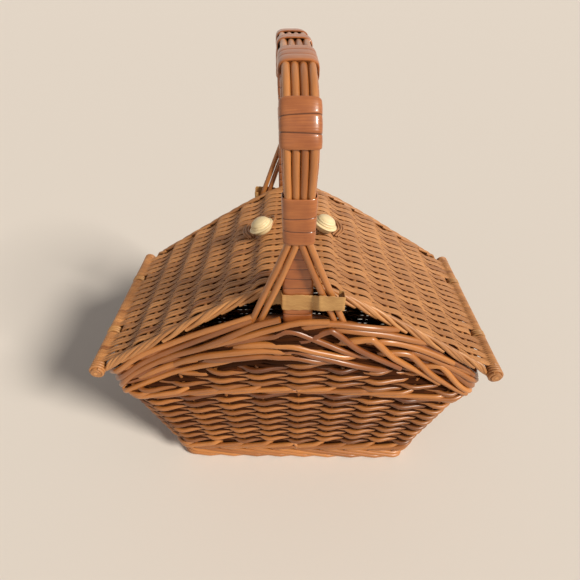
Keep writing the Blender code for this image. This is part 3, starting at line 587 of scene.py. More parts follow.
def fan_out(x, level):
    """Place at a level above the waist of a stake that stands at x in the waist."""
    return x * body_half(level)[0] / body_half(WAIST_HEIGHT)[0]


def gusset_rods(side, lift, width, depth):
    rods = []
    for row in range(GUSSET_ROWS):
        rise = (row + lift) * GUSSET_PITCH
        points = []
        for step in range(-5 * STEPS, 5 * STEPS + 1):
            index = step / STEPS
            x, _, _ = ring_spot(index / STAKE_COUNT, WAIST_HEIGHT, 0.0)
            x = fan_out(x, WAIST_HEIGHT + rise)
            level = waist_level(x) + WALING / 2 + rise
            if level > border_foot(x) + TUCK_REACH or abs(x) > BORDER_REACH:
                continue
            offset = depth * swing(index + row) + GUSSET_OUTSET
            tuck = TUCK_DEPTH * clamp((level - border_foot(x) + TUCK_REACH) / TUCK_LENGTH)
            points.append((-side * x, side * (gusset_line(x, level) + offset - tuck), level))
        if len(points) > 4:
            rods.append(rod(points, width * dice.uniform(0.92, 1.02)))
    return rods


for word, side in ENDS:
    weave = make_rods(
        f"gusset_weave_{word}", gusset_rods(side, 0.55, WEAVE_ROD, WEAVE_SWING), BODY_WILLOW
    )
    place_piece(weave, "basket", "body_willow", f"gusset_{word}")
    # Dark filler rods: their colour is painted shade in the gaps of the gusset weave.
    fill = make_rods(f"gusset_fillers_{word}", gusset_rods(side, 0.05, FILL_ROD, 0.0), SHADE_WILLOW)
    place_piece(fill, "basket", "body_willow")

# %% [markdown]
# ## Stakes
#
# Stakes are the uprights that the rest is woven round. Little of them is seen, but they
# fill the hollows where a rod passes behind. They could be straight cylinders. A curve
# lets them follow the flare of the wall and go on into the gusset and the border.

# %% Stakes
STAKE_ROD = 4.6 * MM
STAKE_LEVELS = (10, 30, 60, 90, 120, 148)
STAKE_TUCK = 3 * MM
CORNER_CLEARANCE = 8 * MM


def stake_rods():
    rods = []
    for index in range(STAKE_COUNT):
        points = []
        for level in STAKE_LEVELS:
            x, y, _ = ring_spot(index / STAKE_COUNT, level * MM, WEAVE_OUTSET)
            points.append((x, y, level * MM))
        x, y, out = ring_spot(index / STAKE_COUNT, WAIST_HEIGHT, 0.0)
        if abs(out[1]) > 0.9 and abs(x) < BORDER_REACH - CORNER_CLEARANCE:
            for part in (0.35, 0.7, 1.0):
                level = lerp(WAIST_HEIGHT, border_foot(x) - STAKE_TUCK, part)
                high_x = fan_out(x, level)
                points.append((high_x, math.copysign(gusset_line(high_x, level), y), level))
        rods.append(rod(points, STAKE_ROD, tone=dice.uniform(0.2, 0.5)))
    return rods


place_piece(make_rods("body_stakes", stake_rods(), BODY_WILLOW), "basket", "body_willow")

# %% [markdown]
# ## Walings and the foot border
#
# A waling is a band of several rods, each in front of two or three stakes and behind one,
# so a new stroke comes out at every stake and climbs over the ones before it. The waling
# at the foot is tall, the one at the waist is narrow, and the foot border slopes the other
# way. All three are the same work with other sizes, so one function makes them.

# %% Walings
WALE_FRONT = 0.7


def wale_wave(turn):
    """Outward swing and climb of a waling rod over one turn. It comes out low, climbs over
    the rods before it, and goes in behind a stake at its tip."""
    turn %= 1.0
    if turn < WALE_FRONT:
        share = turn / WALE_FRONT
        return min(1.0, 0.3 + 0.9 * share) * min(1.0, 9 * share, 6 * (1 - share)), share
    share = (turn - WALE_FRONT) / (1 - WALE_FRONT)
    fall = 0.5 - 0.5 * math.cos(share * math.pi)
    return -1.3 * math.sin(share * math.pi), 1 - fall


def wale_rods(bottom, height, width, swing_by, outset, count, slope=1, level_of=None):
    rods = []
    for start in range(count):
        points = []
        for step in range(STAKE_COUNT * STEPS):
            out_by, climb = wale_wave((step / STEPS - start) / count)
            climb = climb if slope > 0 else 1 - climb
            share = step / (STAKE_COUNT * STEPS)
            x, y, _ = ring_spot(share, bottom + height / 2, outset + swing_by * out_by)
            level = bottom + width / 2 + climb * (height - width)
            lift = level_of(x) - WAIST_HEIGHT if level_of else 0.0
            points.append((x, y, level + lift))
        rods.append(rod(points, width, tone=0.35 + 0.5 * start / count, closed=True))
    return rods


def make_waling(name, replaced, **sizes):
    piece = make_rods(name, wale_rods(**sizes), BORDER_WILLOW)
    place_piece(piece, "basket", "border_willow", replaced)


make_waling(
    "foot_border", "base_foot_border", bottom=0.0, height=FOOT_HEIGHT, width=5.8 * MM,
    swing_by=3.4 * MM, outset=-3.0 * MM, count=4, slope=-1,
)
make_waling(
    "base_waling_rods", "base_waling", bottom=FOOT_HEIGHT - 1 * MM, height=LOW_WALING + 3 * MM,
    width=5.8 * MM, swing_by=4.8 * MM, outset=-3.0 * MM, count=3,
)
make_waling(
    "middle_waling_rods", "middle_waling", bottom=WAIST_HEIGHT - 8 * MM, height=18 * MM,
    width=5.4 * MM, swing_by=5.2 * MM, outset=-2.0 * MM, count=3, level_of=waist_level,
)

# %% [markdown]
# ## Floor of the basket
#
# The floor is woven flat: sticks run along it and thin rods pass over and under them. Rods
# laid round its edge close it against the walls. It is hardly seen, so its rods have six
# sides in place of eight.

# %% Floor
FLOOR_MIDDLE = 13.0 * MM
FLOOR_EDGE = 12 * MM
FLOOR_STICKS = 9
FLOOR_STICK = 4.4 * MM
FLOOR_STICK_INSET = 6 * MM
FLOOR_ROD = 4.0 * MM
FLOOR_SWING = 2.6 * MM
RIM_ROD = 5.0 * MM
RIM_INSETS = (4.5 * MM, 9.0 * MM, 13.5 * MM)


def floor_rods():
    half_length, half_width, _ = body_half(FLOOR_MIDDLE)
    reach_x = half_length - FLOOR_EDGE
    reach_y = half_width - FLOOR_EDGE
    first = -reach_y + FLOOR_STICK_INSET
    rods = []
    for index in range(FLOOR_STICKS):
        y = lerp(first, -first, index / (FLOOR_STICKS - 1))
        rods.append(rod([(x, y, FLOOR_MIDDLE) for x in (-reach_x, 0.0, reach_x)], FLOOR_STICK))
    gap = -2 * first / (FLOOR_STICKS - 1)
    count = int(2 * reach_x / FLOOR_ROD)
    for row in range(count):
        x = lerp(-reach_x, reach_x, (row + 0.5) / count)
        points = []
        for step in range(-STEPS // 2, (FLOOR_STICKS - 1) * STEPS + STEPS // 2 + 1):
            lift = FLOOR_SWING * swing(step / STEPS + row)
            points.append((x, first + gap * step / STEPS, FLOOR_MIDDLE + lift))
        rods.append(rod(points, FLOOR_ROD * 0.98))
    return rods + [level_ring(FLOOR_MIDDLE, -inset, RIM_ROD) for inset in RIM_INSETS]


place_piece(
    make_rods("base_weave", floor_rods(), BODY_WILLOW, sides=6), "basket", "body_willow",
    "base_panel",
)

# %% [markdown]
# ## Plaited border
#
# The border is the boldest part of the weave. It is worked from left to right: each stake
# comes up out of the wall, bends over in a knuckle and runs off to the right, until its
# cut tip lies on the rods before it. On the left half the rods climb to the handle, and on
# the right half they fall to the corner. Their places are given as a run along the border
# from the middle of the side, and a rise above its foot.

# %% Places on the border
BORDER_ROD = 6.8 * MM
BORDER_SIDE_TOP = 181.5 * MM
BORDER_SIDE_LEAN = 7.0 * MM
ARC_LENGTH = BORDER_CORNER * math.pi / 2
END_MIDDLE = BORDER_REACH + ARC_LENGTH + HALF_DEPTH - BORDER_CORNER


def border_frame(run):
    """Top, foot, outward direction and thickness of the border on the near side. A run past
    the middle of an end goes on along the far side."""
    if abs(run) > END_MIDDLE:
        top, foot, out, thickness = border_frame(run - math.copysign(2 * END_MIDDLE, run))
        turn = Matrix.Rotation(math.pi, 3, "Z")
        return turn @ top, turn @ foot, turn @ out, thickness
    reach = abs(run)
    way = math.copysign(1, run)
    if reach <= BORDER_REACH:
        top = Vector((run, -border_line(reach), border_top(reach)))
        foot = Vector((run, -border_foot_line(reach), border_foot(reach)))
        return top, foot, Vector((0.0, -1.0, 0.0)), border_thickness(reach)
    share = min(1.0, (reach - BORDER_REACH) / ARC_LENGTH)
    angle = share * math.pi / 2
    out = Vector((way * math.sin(angle), -math.cos(angle), 0.0))
    past = max(0.0, reach - BORDER_REACH - ARC_LENGTH)
    x = way * BORDER_REACH + out.x * BORDER_CORNER
    y = BORDER_CORNER - HALF_DEPTH + out.y * BORDER_CORNER + past
    fall = min(1.0, share * 5 / 3)
    top_level = lerp(border_top(BORDER_REACH), BORDER_SIDE_TOP, fall)
    end_foot = WAIST_HEIGHT + WALING / 2 + GAP
    foot_level = lerp(border_foot(BORDER_REACH), end_foot, min(1.0, 2 * share))
    lean = lerp(HALF_DEPTH - border_foot_line(BORDER_REACH), BORDER_SIDE_LEAN, share)
    top = Vector((x, y, top_level))
    return top, Vector((x - out.x * lean, y - out.y * lean, foot_level)), out, BORDER_THICKNESS


def on_border(run, rise, depth, side):
    """Point on the near or far border, a depth inside its outer face."""
    top, foot, out, thickness = border_frame(run)
    share = rise / (top.z - foot.z)
    point = foot.lerp(top, share) + out * (thickness / 2 - depth)
    return (-side * point.x, -side * point.y, point.z)


print("half of the border's length:", round(2 * END_MIDDLE, 4))

# %% [markdown]
# ## Routes of the bold rods
#
# No rule gives the lay of a handmade border, so each bold rod has its own route, read
# from the photograph: it starts behind the others, comes up to its knuckle, and ends with
# its cut tip in front. A few points are enough, since a smooth curve joins them.

# %% Routes of the border rods
# Each route is a list of run and rise in millimetres, and how deep the rod lies at them.
CLIMBING_ROUTES = (
    ((-262, 8, 9), (-240, 18, 3), (-196, 24, 3), (-153, 41, 3), (-117, 46, 3),
     (-78, 54, 4), (-36, 60, 7)),
    ((-240, 4, 10), (-220, 11, 3), (-190, 14, 3), (-153, 30, 3), (-108, 39, 3),
     (-62, 53, 3), (-38, 57, 5)),
    ((-212, -2, 9), (-190, 2, 2), (-165, 18, 3), (-125, 27, 3), (-88, 34, 2),
     (-44, 51, 1), (-14, 57, 0)),
    ((-100, 24, 9), (-79, 34, 4), (-44, 42, 2), (-14, 48, 1), (28, 58, 0)),
)
LOWER_ROUTES = (
    ((-222, 6, 9), (-200, 2, 3), (-184, -5, 1), (-171, -3, 2), (-115, 3, 4),
     (-67, 11, 4), (-42, 15, 9)),
    ((-136, 4, 9), (-120, 14, 4), (-88, 22, 2), (-46, 23, 2), (-14, 17, 3), (8, 10, 9)),
    ((-168, 4, 10), (-148, 11, 4), (-115, 15, 4), (-85, 12, 9)),
    ((-94, 10, 9), (-74, 14, 4), (-40, 14, 3), (-10, 9, 3), (20, 5, 3), (42, 3, 9)),
    ((-24, 11, 9), (-6, 17, 4), (20, 12, 2), (48, 9, 2), (78, 4, 3), (98, 0, 9)),
    ((-60, 24, 9), (-45, 29, 4), (-14, 25, 2), (14, 19, 1), (44, 17, 2), (60, 20, 7)),
)
KNUCKLE_ROUTES = (
    ((-66, 28, 9), (-50, 35, 5), (-23, 36, 4), (-9, 42, 2), (8, 37, 2),
     (28, 29, 2), (50, 22, 3), (70, 15, 8)),
    ((-4, 22, 9), (12, 33, 4), (27, 45, 2), (34, 46, 1), (56, 31, 1), (80, 20, 1), (101, 12, 0)),
    ((32, 26, 9), (48, 36, 4), (64, 44, 2), (71, 43, 1), (93, 24, 1), (120, 11, 1), (146, 3, 0)),
    ((70, 19, 9), (89, 28, 4), (104, 32, 2), (113, 29, 1), (134, 13, 0), (158, 4, 0), (179, -1, 0)),
    ((108, 8, 9), (126, 18, 4), (140, 27, 2), (148, 24, 1), (166, 10, 0), (188, 1, 0)),
)
TOP_ROUTES = (
    ((0, 40, 9), (14, 49, 4), (37, 55, 3), (72, 58, 3), (92, 56, 8)),
    ((24, 40, 9), (40, 49, 4), (76, 52, 3), (109, 51, 3), (128, 49, 8)),
    ((62, 34, 9), (80, 42, 4), (100, 43, 3), (145, 38, 3), (160, 33, 8)),
    ((98, 26, 9), (113, 34, 4), (140, 31, 3), (172, 24, 3), (196, 14, 1)),
    ((132, 18, 9), (148, 26, 4), (170, 17, 3), (190, 8, 1), (204, 6, 1)),
)
END_ROUTES = (
    ((150, 18, 6), (176, 6, 2), (196, -2, 0), (209, -7, -1)),
    ((168, 23, 6), (188, 10, 2), (204, 3, 0), (214, -1, -1)),
    ((184, 25, 6), (198, 15, 2), (210, 8, 0), (218, 5, -1)),
    ((178, 6, 9), (196, 16, 3), (214, 20, 2), (250, 17, 2), (290, 9, 3), (312, 6, 9)),
    ((196, 2, 9), (216, 12, 4), (236, 8, 2), (270, 5, 2), (306, 3, 3), (330, 2, 9)),
    ((205, 18, 9), (222, 22, 4), (262, 23, 3), (304, 20, 3), (326, 16, 9)),
)
ROUTES = CLIMBING_ROUTES + LOWER_ROUTES + KNUCKLE_ROUTES + TOP_ROUTES + END_ROUTES
ROUTE_STEPS = 5


def smooth(share):
    share = clamp(share)
    return share * share * (3 - 2 * share)


def curve_through(values, steps):
    """Values in between the given ones, on a smooth curve through all of them."""
    out = []
    for index in range(len(values) - 1):
        before = values[max(0, index - 1)]
        start, end = values[index], values[index + 1]
        after = values[min(len(values) - 1, index + 2)]
        for step in range(steps):
            t = step / steps
            out.append(0.5 * (
                2 * start + (end - before) * t + (2 * before - 5 * start + 4 * end - after) * t * t
                + (3 * start - before - 3 * end + after) * t ** 3
            ))
    return out + [values[-1]]


def border_route(route, side):
    """Bold rod along a route, thinner towards its tip. Near the middle it lies further out,
    in front of the handle's foot."""
    runs, rises, depths = (curve_through(row, ROUTE_STEPS) for row in zip(*route))
    start = BORDER_ROD * dice.uniform(0.94, 1.06)
    points = []
    widths = []
    for index, (run, rise, depth) in enumerate(zip(runs, rises, depths)):
        depth *= lerp(0.4, 1.0, smooth((abs(run) - 14) / 16))
        inside = (depth - 0.5) * MM + start / 2
        points.append(on_border(run * MM, rise * MM, inside, side))
        widths.append(start * lerp(1.05, 0.84, index / len(runs)))
    return rod(points, widths)


print("bold rods on each side:", len(ROUTES))

# %% [markdown]
# ## Long rods of the border
#
# Behind the bold rods, others run along the whole border: its inner face, and dark ones
# that close it from behind, whose dark colour is painted shade. Each keeps its rise over
# the border's foot, wavers a little, and stays under the border's top.

# %% Long rods and the whole border
INNER_RISES = (6, 14, 22, 30, 38, 46)
INNER_ROD = 6.0 * MM
BACKING_RISES = (3, 8, 13, 18, 23, 28, 33, 38, 43, 48)
BACKING_ROD = 5.2 * MM
LOW_BACKING_RISES = (-3, -7)
LOW_BACKING_ROD = 4.8 * MM
LOW_BACKING_START = 56 * MM
SHORT_SIDE_RISE = 22
LONG_STEPS = 56
TOP_COVER = 3 * MM
ROW_COVER = 0.2 * MM
RISE_WAVER = 0.9 * MM
DEPTH_WAVER = 0.6 * MM


def long_border_rods(side, rises, width, depth_at, span=None, corner_drop=0.0):
    """Rods along the border. The ones over the short sides' rise end before the corners."""
    rods = []
    for row, level in enumerate(rises):
        first, last = span or (-END_MIDDLE, END_MIDDLE)
        if level > SHORT_SIDE_RISE:
            last = END_MIDDLE - (level - 20) * 5 * MM
            first = -last
        points = []
        for step in range(LONG_STEPS + 1):
            run = lerp(first, last, step / LONG_STEPS)
            top, foot, _, thickness = border_frame(run)
            drop = corner_drop * smooth((abs(run) - BORDER_REACH + 18 * MM) / (15 * MM))
            rise = min(level * MM, top.z - foot.z - TOP_COVER - row * ROW_COVER - drop)
            rise += RISE_WAVER * math.sin(step * 0.9 + row)
            depth = depth_at(run, thickness) + DEPTH_WAVER * math.sin(step * 1.3 + row * 2)
            points.append(on_border(run, rise, depth, side))
        rods.append(rod(points, width, tone=dice.uniform(0.1, 0.45)))
    return rods


def inner_depth(_, thickness):
    return thickness - 3.6 * MM


def backing_depth(run, _):
    """Shallow in front of the handle's foot, deeper elsewhere."""
    return lerp(4.2, 9.6, smooth((abs(run) - 15 * MM) / (14 * MM))) * MM


def middle_depth(_, thickness):
    return thickness / 2


def border_rods():
    rods = []
    for side in (-1, 1):
        rods += [border_route(route, side) for route in ROUTES]
        rods += long_border_rods(side, INNER_RISES, INNER_ROD, inner_depth)
    return rods


def backing_rods():
    rods = []
    for side in (-1, 1):
        rods += long_border_rods(
            side, BACKING_RISES, BACKING_ROD, backing_depth, corner_drop=8 * MM
        )
        for way in (-1, 1):
            span = (way * LOW_BACKING_START, way * END_MIDDLE)
            rods += long_border_rods(
                side, LOW_BACKING_RISES, LOW_BACKING_ROD, middle_depth, span
            )
    return rods


# Painted shade: the backing rods are dark to stand for the shade behind the bold rods.
backing = make_rods("border_backing", backing_rods(), SHADE_WILLOW)
place_piece(backing, "basket", "border_willow")
plait = make_rods("border_plait", border_rods(), BORDER_WILLOW, sides=10)
place_piece(
    plait, "basket", "border_willow", "border_near", "border_far", "border_left",
    "border_right",
)

# %% [markdown]
# ## Lids
#
# Each lid is woven of thin rods in pairs. The stakes run across the basket, from the
# near edge to the far one, and the pairs run down the slope over and under them. They
# turn round a stick at the ridge, and round the pivot stick next to the corners. In
# between they turn round a stick of their own, where the hinge loops need room.

# %% Places on a lid
LID_STAKES = 6
LID_ROWS = 36
LID_ROD = 2.85 * MM
LID_STAKE = 4.8 * MM
LID_SWING = 3.5 * MM
LID_STEPS = 9
LID_SPREAD = 0.6 * MM
EDGE_STICK = 4.4 * MM
EAR_LENGTH = 48.0 * MM
EAR_DEPTH = 7.0 * MM
LOOP_NOTCH = (41 * MM, 52 * MM)
PANEL_REACH = 92.7 * MM
LID_PITCH = 2 * PANEL_REACH / LID_ROWS
RIDGE_X = 4.5 * MM
RIDGE_CORE = 3.2 * MM


def lid_arc():
    """Table of run along the lid against distance from the ridge."""
    table = [(0.0, 0.0)]
    x = 0.0
    while x < PIVOT_X + 10 * MM:
        after = x + 0.5 * MM
        length = math.hypot(0.5 * MM, lid_under(after) - lid_under(x))
        table.append((table[-1][0] + length, after))
        x = after
    return table


LID_ARC = lid_arc()
ARC_RUNS = [run for run, _ in LID_ARC]
ARC_PLACES = [x for _, x in LID_ARC]


def lid_x(run):
    return float(np.interp(run, ARC_RUNS, ARC_PLACES))


def lid_run(x):
    return float(np.interp(x, ARC_PLACES, ARC_RUNS))


def on_lid(run, y, above, side):
    x = lid_x(run)
    tilt = lid_tilt(x)
    return (side * (x + math.sin(tilt) * above), y, lid_middle(x) + math.cos(tilt) * above)


LID_START = lid_run(RIDGE_X)
LID_END = lid_run(LID_OUTER)
LID_INNER = 7.8 * MM
STAKE_GAP = (LID_OUTER - LID_INNER) / LID_STAKES


def lid_phase(run):
    """Counts the stakes down the slope: whole numbers lie halfway between two stakes."""
    return (lid_x(run) - LID_INNER) / STAKE_GAP


print("lid run", round(LID_END - LID_START, 4), "stakes every", round(STAKE_GAP, 4))

# %% [markdown]
# ## Rods of a lid
#
# A lid is made from the ridge down. Each rod of a pair hooks round the ridge stick, goes
# over and under the stakes, and hooks round the stick at its lower end. The hooks are
# arcs, and the wave dies away near them, so one list of points makes the whole rod. Dark
# rods lie between the pairs, as in the walls; their dark colour is painted shade.

# %% Lid rods
HOOK_START = 3 * MM
RIDGE_FADE = 9 * MM
EDGE_FADE = 10 * MM
PIVOT_PRESS = 1.2 * MM
PIVOT_BITE = 0.3 * MM


def turn_round(centre, radius, start, end, y, side, steps=6):
    """Arc round a stick, from a start angle to an end angle, measured from straight up
    and outwards."""
    points = []
    for step in range(steps + 1):
        angle = lerp(start, end, step / steps)
        x = centre[0] + radius * math.sin(angle)
        z = centre[1] + radius * math.cos(angle)
        points.append((side * x, y, z))
    return points


def lid_swing(phase):
    """Over one stake and under the next: slowly up on the way out, then quickly down."""
    whole = math.floor(phase)
    part = phase - whole
    wave = math.sin(math.pi * (part - 0.27 * math.sin(math.pi * part)))
    return -0.8 * wave if whole % 2 else 1.2 * wave


def lid_row(centre, half, row, side, ear):
    """One rod of a pair: half is -1 or 1 for the near or the far rod of the pair. An ear is
    the part of the lid that reaches as far as the pivot stick."""
    over = RIDGE_CORE / 2 + LID_ROD / 2
    near = centre + half * LID_PITCH / 4
    points = turn_round((RIDGE_X, lid_middle(RIDGE_X)), over, -2.6, -0.1, near, side)
    tilt = lid_tilt(LID_OUTER)
    if ear:
        end = LID_END
        around = PIVOT_STICK / 2 + LID_ROD / 2
        lift = around - PIVOT_PRESS
        hook = ((PIVOT_X, PIVOT_HEIGHT), around - PIVOT_BITE, tilt - 0.5, tilt + 2.7)
    else:
        end = lid_run(LID_OUTER - EAR_DEPTH) - EDGE_STICK * 0.6
        lift = EDGE_STICK / 2 + LID_ROD / 2
        x = lid_x(end) + 0.5 * MM
        hook = ((x, lid_middle(x)), lift, tilt + 0.3, tilt + 2.9)
    count = LID_STAKES * LID_STEPS
    for step in range(count + 1):
        run = lerp(LID_START + HOOK_START, end, step / count)
        wave = lid_swing(lid_phase(run) + row)
        fade = smooth((run - LID_START) / RIDGE_FADE)
        settle = smooth((end - run) / EDGE_FADE)
        above = LID_SWING * wave * fade * settle + over * (1 - fade) + lift * (1 - settle)
        y = near + half * LID_SPREAD * abs(wave) * fade * settle
        points.append(on_lid(run, y, above, side))
    return points + turn_round(*hook, near, side, 8 if ear else 6)


def lid_weave_rods(side):
    rods = []
    for row in range(LID_ROWS):
        centre = PANEL_REACH - LID_PITCH * (row + 0.5)
        ear = not LOOP_NOTCH[0] < abs(centre) < LOOP_NOTCH[1]
        tone = dice.gauss(0.5, 0.15)
        for half in (-1, 1):
            width = LID_ROD * dice.uniform(0.95, 1.04)
            points = lid_row(centre, half, row, side, ear)
            rods.append(rod(points, width, tone=tone + dice.uniform(-0.1, 0.1)))
    return rods


def straight(x, places, level, width):
    """Straight rod along the basket's width."""
    return rod([(x, y, level) for y in places], width, tone=0.4)


def lid_stake_rods(side):
    rods = []
    for index in range(LID_STAKES):
        run = lid_run(LID_INNER + (index + 0.5) * STAKE_GAP)
        points = [on_lid(run, y * MM, 0.0, side) for y in (-95, -45, 0, 45, 95)]
        rods.append(rod(points, LID_STAKE, tone=0.4))
    x = LID_OUTER - EAR_DEPTH - EDGE_STICK * 0.4
    reach = LID_WIDTH / 2 - EAR_LENGTH
    rods.append(straight(side * x, (-reach, 0.0, reach), lid_middle(x), EDGE_STICK))
    for way in (-1, 1):
        places = (way * reach, way * (LID_WIDTH / 2 - 6 * MM))
        rods.append(straight(side * x, places, lid_middle(x), EDGE_STICK * 0.8))
    places = [y * MM for y in (-99, 0, 99)]
    rods.append(straight(side * RIDGE_X, places, lid_middle(RIDGE_X), RIDGE_CORE))
    return rods


def lid_filler_rods(side):
    """Thin rods inside the weave, between its rows, dark as painted shade."""
    end = lid_run(LID_OUTER - EAR_DEPTH) - EDGE_STICK
    runs = [lerp(LID_START + 5 * MM, end, step / 12) for step in range(13)]
    rods = []
    for row in range(LID_ROWS + 1):
        y = PANEL_REACH * (1 - 2 * row / LID_ROWS)
        rods.append(rod([on_lid(run, y, 0.0, side) for run in runs], 2.6 * MM, tone=0.5))
    return rods


print("pairs of rods in a lid:", LID_ROWS)

# %% [markdown]
# ## Edges of a lid
#
# Along its near and far edges a lid is bound by rods bent over one after the other, each
# lying down the slope over the next ones. Their cut tips give the edge its frayed look.
# Half a turn of a long helix has the same form, with a length of its own for each rod.

# %% Edges and the whole lid
BINDING_STEP = 15.0 * MM
BINDING_START = 18 * MM
BINDING_STOP = 22 * MM
BINDING_LENGTHS = (48, 66)
BINDING_WIDTHS = (3.4, 4.1)
BINDING_MIDDLE = 96.2 * MM
BINDING_SPREAD = 2.4 * MM
BINDING_HEIGHT = 3.2 * MM
BINDING_LIFT = 0.3 * MM
BINDING_POINTS = 16


def binding_rods(side, turn):
    rods = []
    run = LID_START - BINDING_START
    while run < LID_END - BINDING_STOP:
        length = dice.uniform(*BINDING_LENGTHS) * MM
        first = max(run, LID_START - 2 * MM)
        last = min(run + length, LID_END + 1 * MM)
        points = []
        for step in range(BINDING_POINTS + 1):
            share = step / BINDING_POINTS
            angle = lerp(2.4, -0.7, smooth(share))
            across = BINDING_MIDDLE + BINDING_SPREAD * math.cos(angle)
            above = BINDING_LIFT + BINDING_HEIGHT * math.sin(angle)
            points.append(on_lid(lerp(first, last, share), turn * across, above, side))
        rods.append(rod(points, dice.uniform(*BINDING_WIDTHS) * MM))
        run += BINDING_STEP
    return rods


for word, side in LIDS:
    body = f"{word}_lid"
    weave = make_rods(f"lid_{word}_weave", lid_weave_rods(side), LID_WILLOW, sides=6)
    place_piece(weave, body, "lid_willow", f"lid_{word}_panel")
    sticks = make_rods(f"lid_{word}_sticks", lid_stake_rods(side), LID_WILLOW)
    place_piece(sticks, body, "lid_willow", f"lid_{word}_ridge_stick")
    fillers = make_rods(f"lid_{word}_fillers", lid_filler_rods(side), SHADE_WILLOW, sides=6)
    place_piece(fillers, body, "lid_willow")
    for end, turn in ENDS:
        binding = make_rods(f"lid_{word}_edge_{end}", binding_rods(side, turn), LID_WILLOW)
        place_piece(binding, body, "lid_willow", f"lid_{word}_binding_{end}")

# %% [markdown]
# ## Cane and turned wood
#
# Flat cane has a glossy face with fine lines along it. A strip that is wound on carries
# two numbers at each of its points, the run along the handle and the way round it, and
# the lines of the material follow those. The knobs are turned from pale wood, whose fine
# rings follow their height over the seat.

# %% Cane and wood materials
# Painted shade: the dark colour of the groove where two turns of cane meet.
GROOVE_SHADE_COLOUR = (62, 28, 12)


def lined(name, dark, light, roughness, coat, stretch):
    """Fine lines that follow a piece's own run and round attributes."""
    material, tree, shader = new_material(name)
    spot = {"X": add_attribute(tree, "run"), "Y": add_attribute(tree, "round")}
    along = add_node(tree, "CombineXYZ", spot, "Vector")
    grain = add_grain(tree, shader, along, (*stretch, 1.0))
    both = {0: grain, 1: add_patches(tree, 60.0)}
    shade = add_node(tree, "Math", both, "Value", operation="ADD")
    spread = {"Value": shade, "From Min": 0.6, "From Max": 1.4}
    colour = add_ramp(
        tree, add_node(tree, "MapRange", spread, "Result"), (paint(*dark), paint(*light))
    )
    # Painted shade: the groove between two turns is darkened.
    groove_shade = {"Factor": add_attribute(tree, "groove_shade"), "A": colour, "B": paint(*GROOVE_SHADE_COLOUR)}
    set_inputs(tree, shader, {
        "Base Color": add_node(tree, "Mix", groove_shade, "Result", data_type="RGBA"),
        "Roughness": roughness,
        "Coat Weight": coat,
    })
    return material


CANE = lined("wound cane", (138, 74, 34), (182, 110, 56), 0.36, 0.3, (1300, 50))
PALE_TIE = lined("pale tie", (152, 106, 56), (198, 154, 94), 0.55, 0.05, (60, 900))
BEECH = lined("turned wood", (206, 180, 130), (240, 220, 176), 0.45, 0.2, (900, 40))
# Painted shade: a near-black colour for the inside of the knob's hole.
HOLE_SHADE = lined("painted hole shade", (30, 16, 8), (44, 24, 12), 0.9, 0.0, (10, 10))

# %% [markdown]
# ## Handle
#
# The handle is a bow of flat wood, wound with cane from foot to foot. Four sticks lie on
# its outer face. Bands of cane, each of a few turns, hold the sticks on, and below the
# lowest bands the sticks' other ends spread out as braces down to the border.

# %% Places on the handle
SOCKET_DEPTH = 38.0 * MM
BOW_WIDTH = 25.2 * MM
HANDLE_TOP = 450.0 * MM
HANDLE_CORNER = 45.0 * MM
HANDLE_CROWN = 3.0 * MM
HANDLE_NEAR_SHIFT = 1.0 * MM
HANDLE_FAR_SHIFT = -9.0 * MM
LOW_BAND_BOTTOM = 347.1 * MM
LOW_BAND_HEIGHT = 36.0 * MM
BOW_END = border_top(0.0) - SOCKET_DEPTH
LEG = HANDLE_TOP - HANDLE_CORNER - BOW_END
QUARTER = HANDLE_CORNER * math.pi / 2
FLAT = HANDLE_SPAN / 2 - HANDLE_CORNER
ARCH_MIDDLE = LEG + QUARTER + FLAT


def arch_station(run):
    """Place and outward direction of the bow's middle line, a run from the near foot."""
    if run > ARCH_MIDDLE:
        y, z, out = arch_station(2 * ARCH_MIDDLE - run)
        return -y, z, (-out[0], out[1])
    if run <= LEG:
        return -HANDLE_SPAN / 2, BOW_END + run, (-1.0, 0.0)
    if run <= LEG + QUARTER:
        angle = (run - LEG) / HANDLE_CORNER
        out = (-math.cos(angle), math.sin(angle))
        y = -HANDLE_SPAN / 2 + HANDLE_CORNER * (1 + out[0])
        return y, HANDLE_TOP - HANDLE_CORNER + HANDLE_CORNER * out[1], out
    y = run - LEG - QUARTER - FLAT
    return y, HANDLE_TOP + HANDLE_CROWN * (1 - (y / FLAT) ** 2), (0.0, 1.0)


def handle_shift(y):
    share = (y + HANDLE_SPAN / 2) / HANDLE_SPAN
    return lerp(HANDLE_NEAR_SHIFT, HANDLE_FAR_SHIFT, clamp(share))


LOW_PINCH = 0.14
HIGH_PINCH = 0.08
PINCH_BELOW = 16 * MM
PINCH_ABOVE = 24 * MM


def pinch(run):
    """Share by which the handle is drawn in at its low bands."""
    reach = min(run, 2 * ARCH_MIDDLE - run) - (LOW_BAND_BOTTOM - BOW_END)
    if reach < 0:
        return LOW_PINCH * (1 - smooth(-reach / PINCH_BELOW))
    if reach < LOW_BAND_HEIGHT:
        return lerp(LOW_PINCH, HIGH_PINCH, reach / LOW_BAND_HEIGHT)
    return HIGH_PINCH * (1 - smooth((reach - LOW_BAND_HEIGHT) / PINCH_ABOVE))


def on_arch(run, across, outward):
    y, z, out = arch_station(run)
    across *= 1 - pinch(run)
    return (handle_shift(y) + across, y + out[0] * outward, z + out[1] * outward)


print("length of the bow:", round(2 * ARCH_MIDDLE, 3))

# %% [markdown]
# ## Wound cane
#
# A winding is one strip laid turn beside turn. It could be a helix, but then its ends and
# its even turns would need care. Here each turn is a few rings round the handle, close
# together at its edges, where a shallow groove with painted shade parts it from the next
# turn. The rings lean a little, and a skin over all of them is the winding.

# %% Loft and winding
TURN_EDGE = 0.5 * MM


def strap_outline(half_width, inner, outer, squareness, count=36):
    """Rounded section across the handle: across and outward."""
    outline = []
    for index in range(count):
        angle = 2 * math.pi * (index + 0.5) / count
        across, outward = (
            math.copysign(abs(value) ** (2 / squareness), value)
            for value in (math.cos(angle), math.sin(angle))
        )
        middle, half = (outer - inner) / 2, (outer + inner) / 2
        outline.append((across * half_width, middle + outward * half))
    return outline

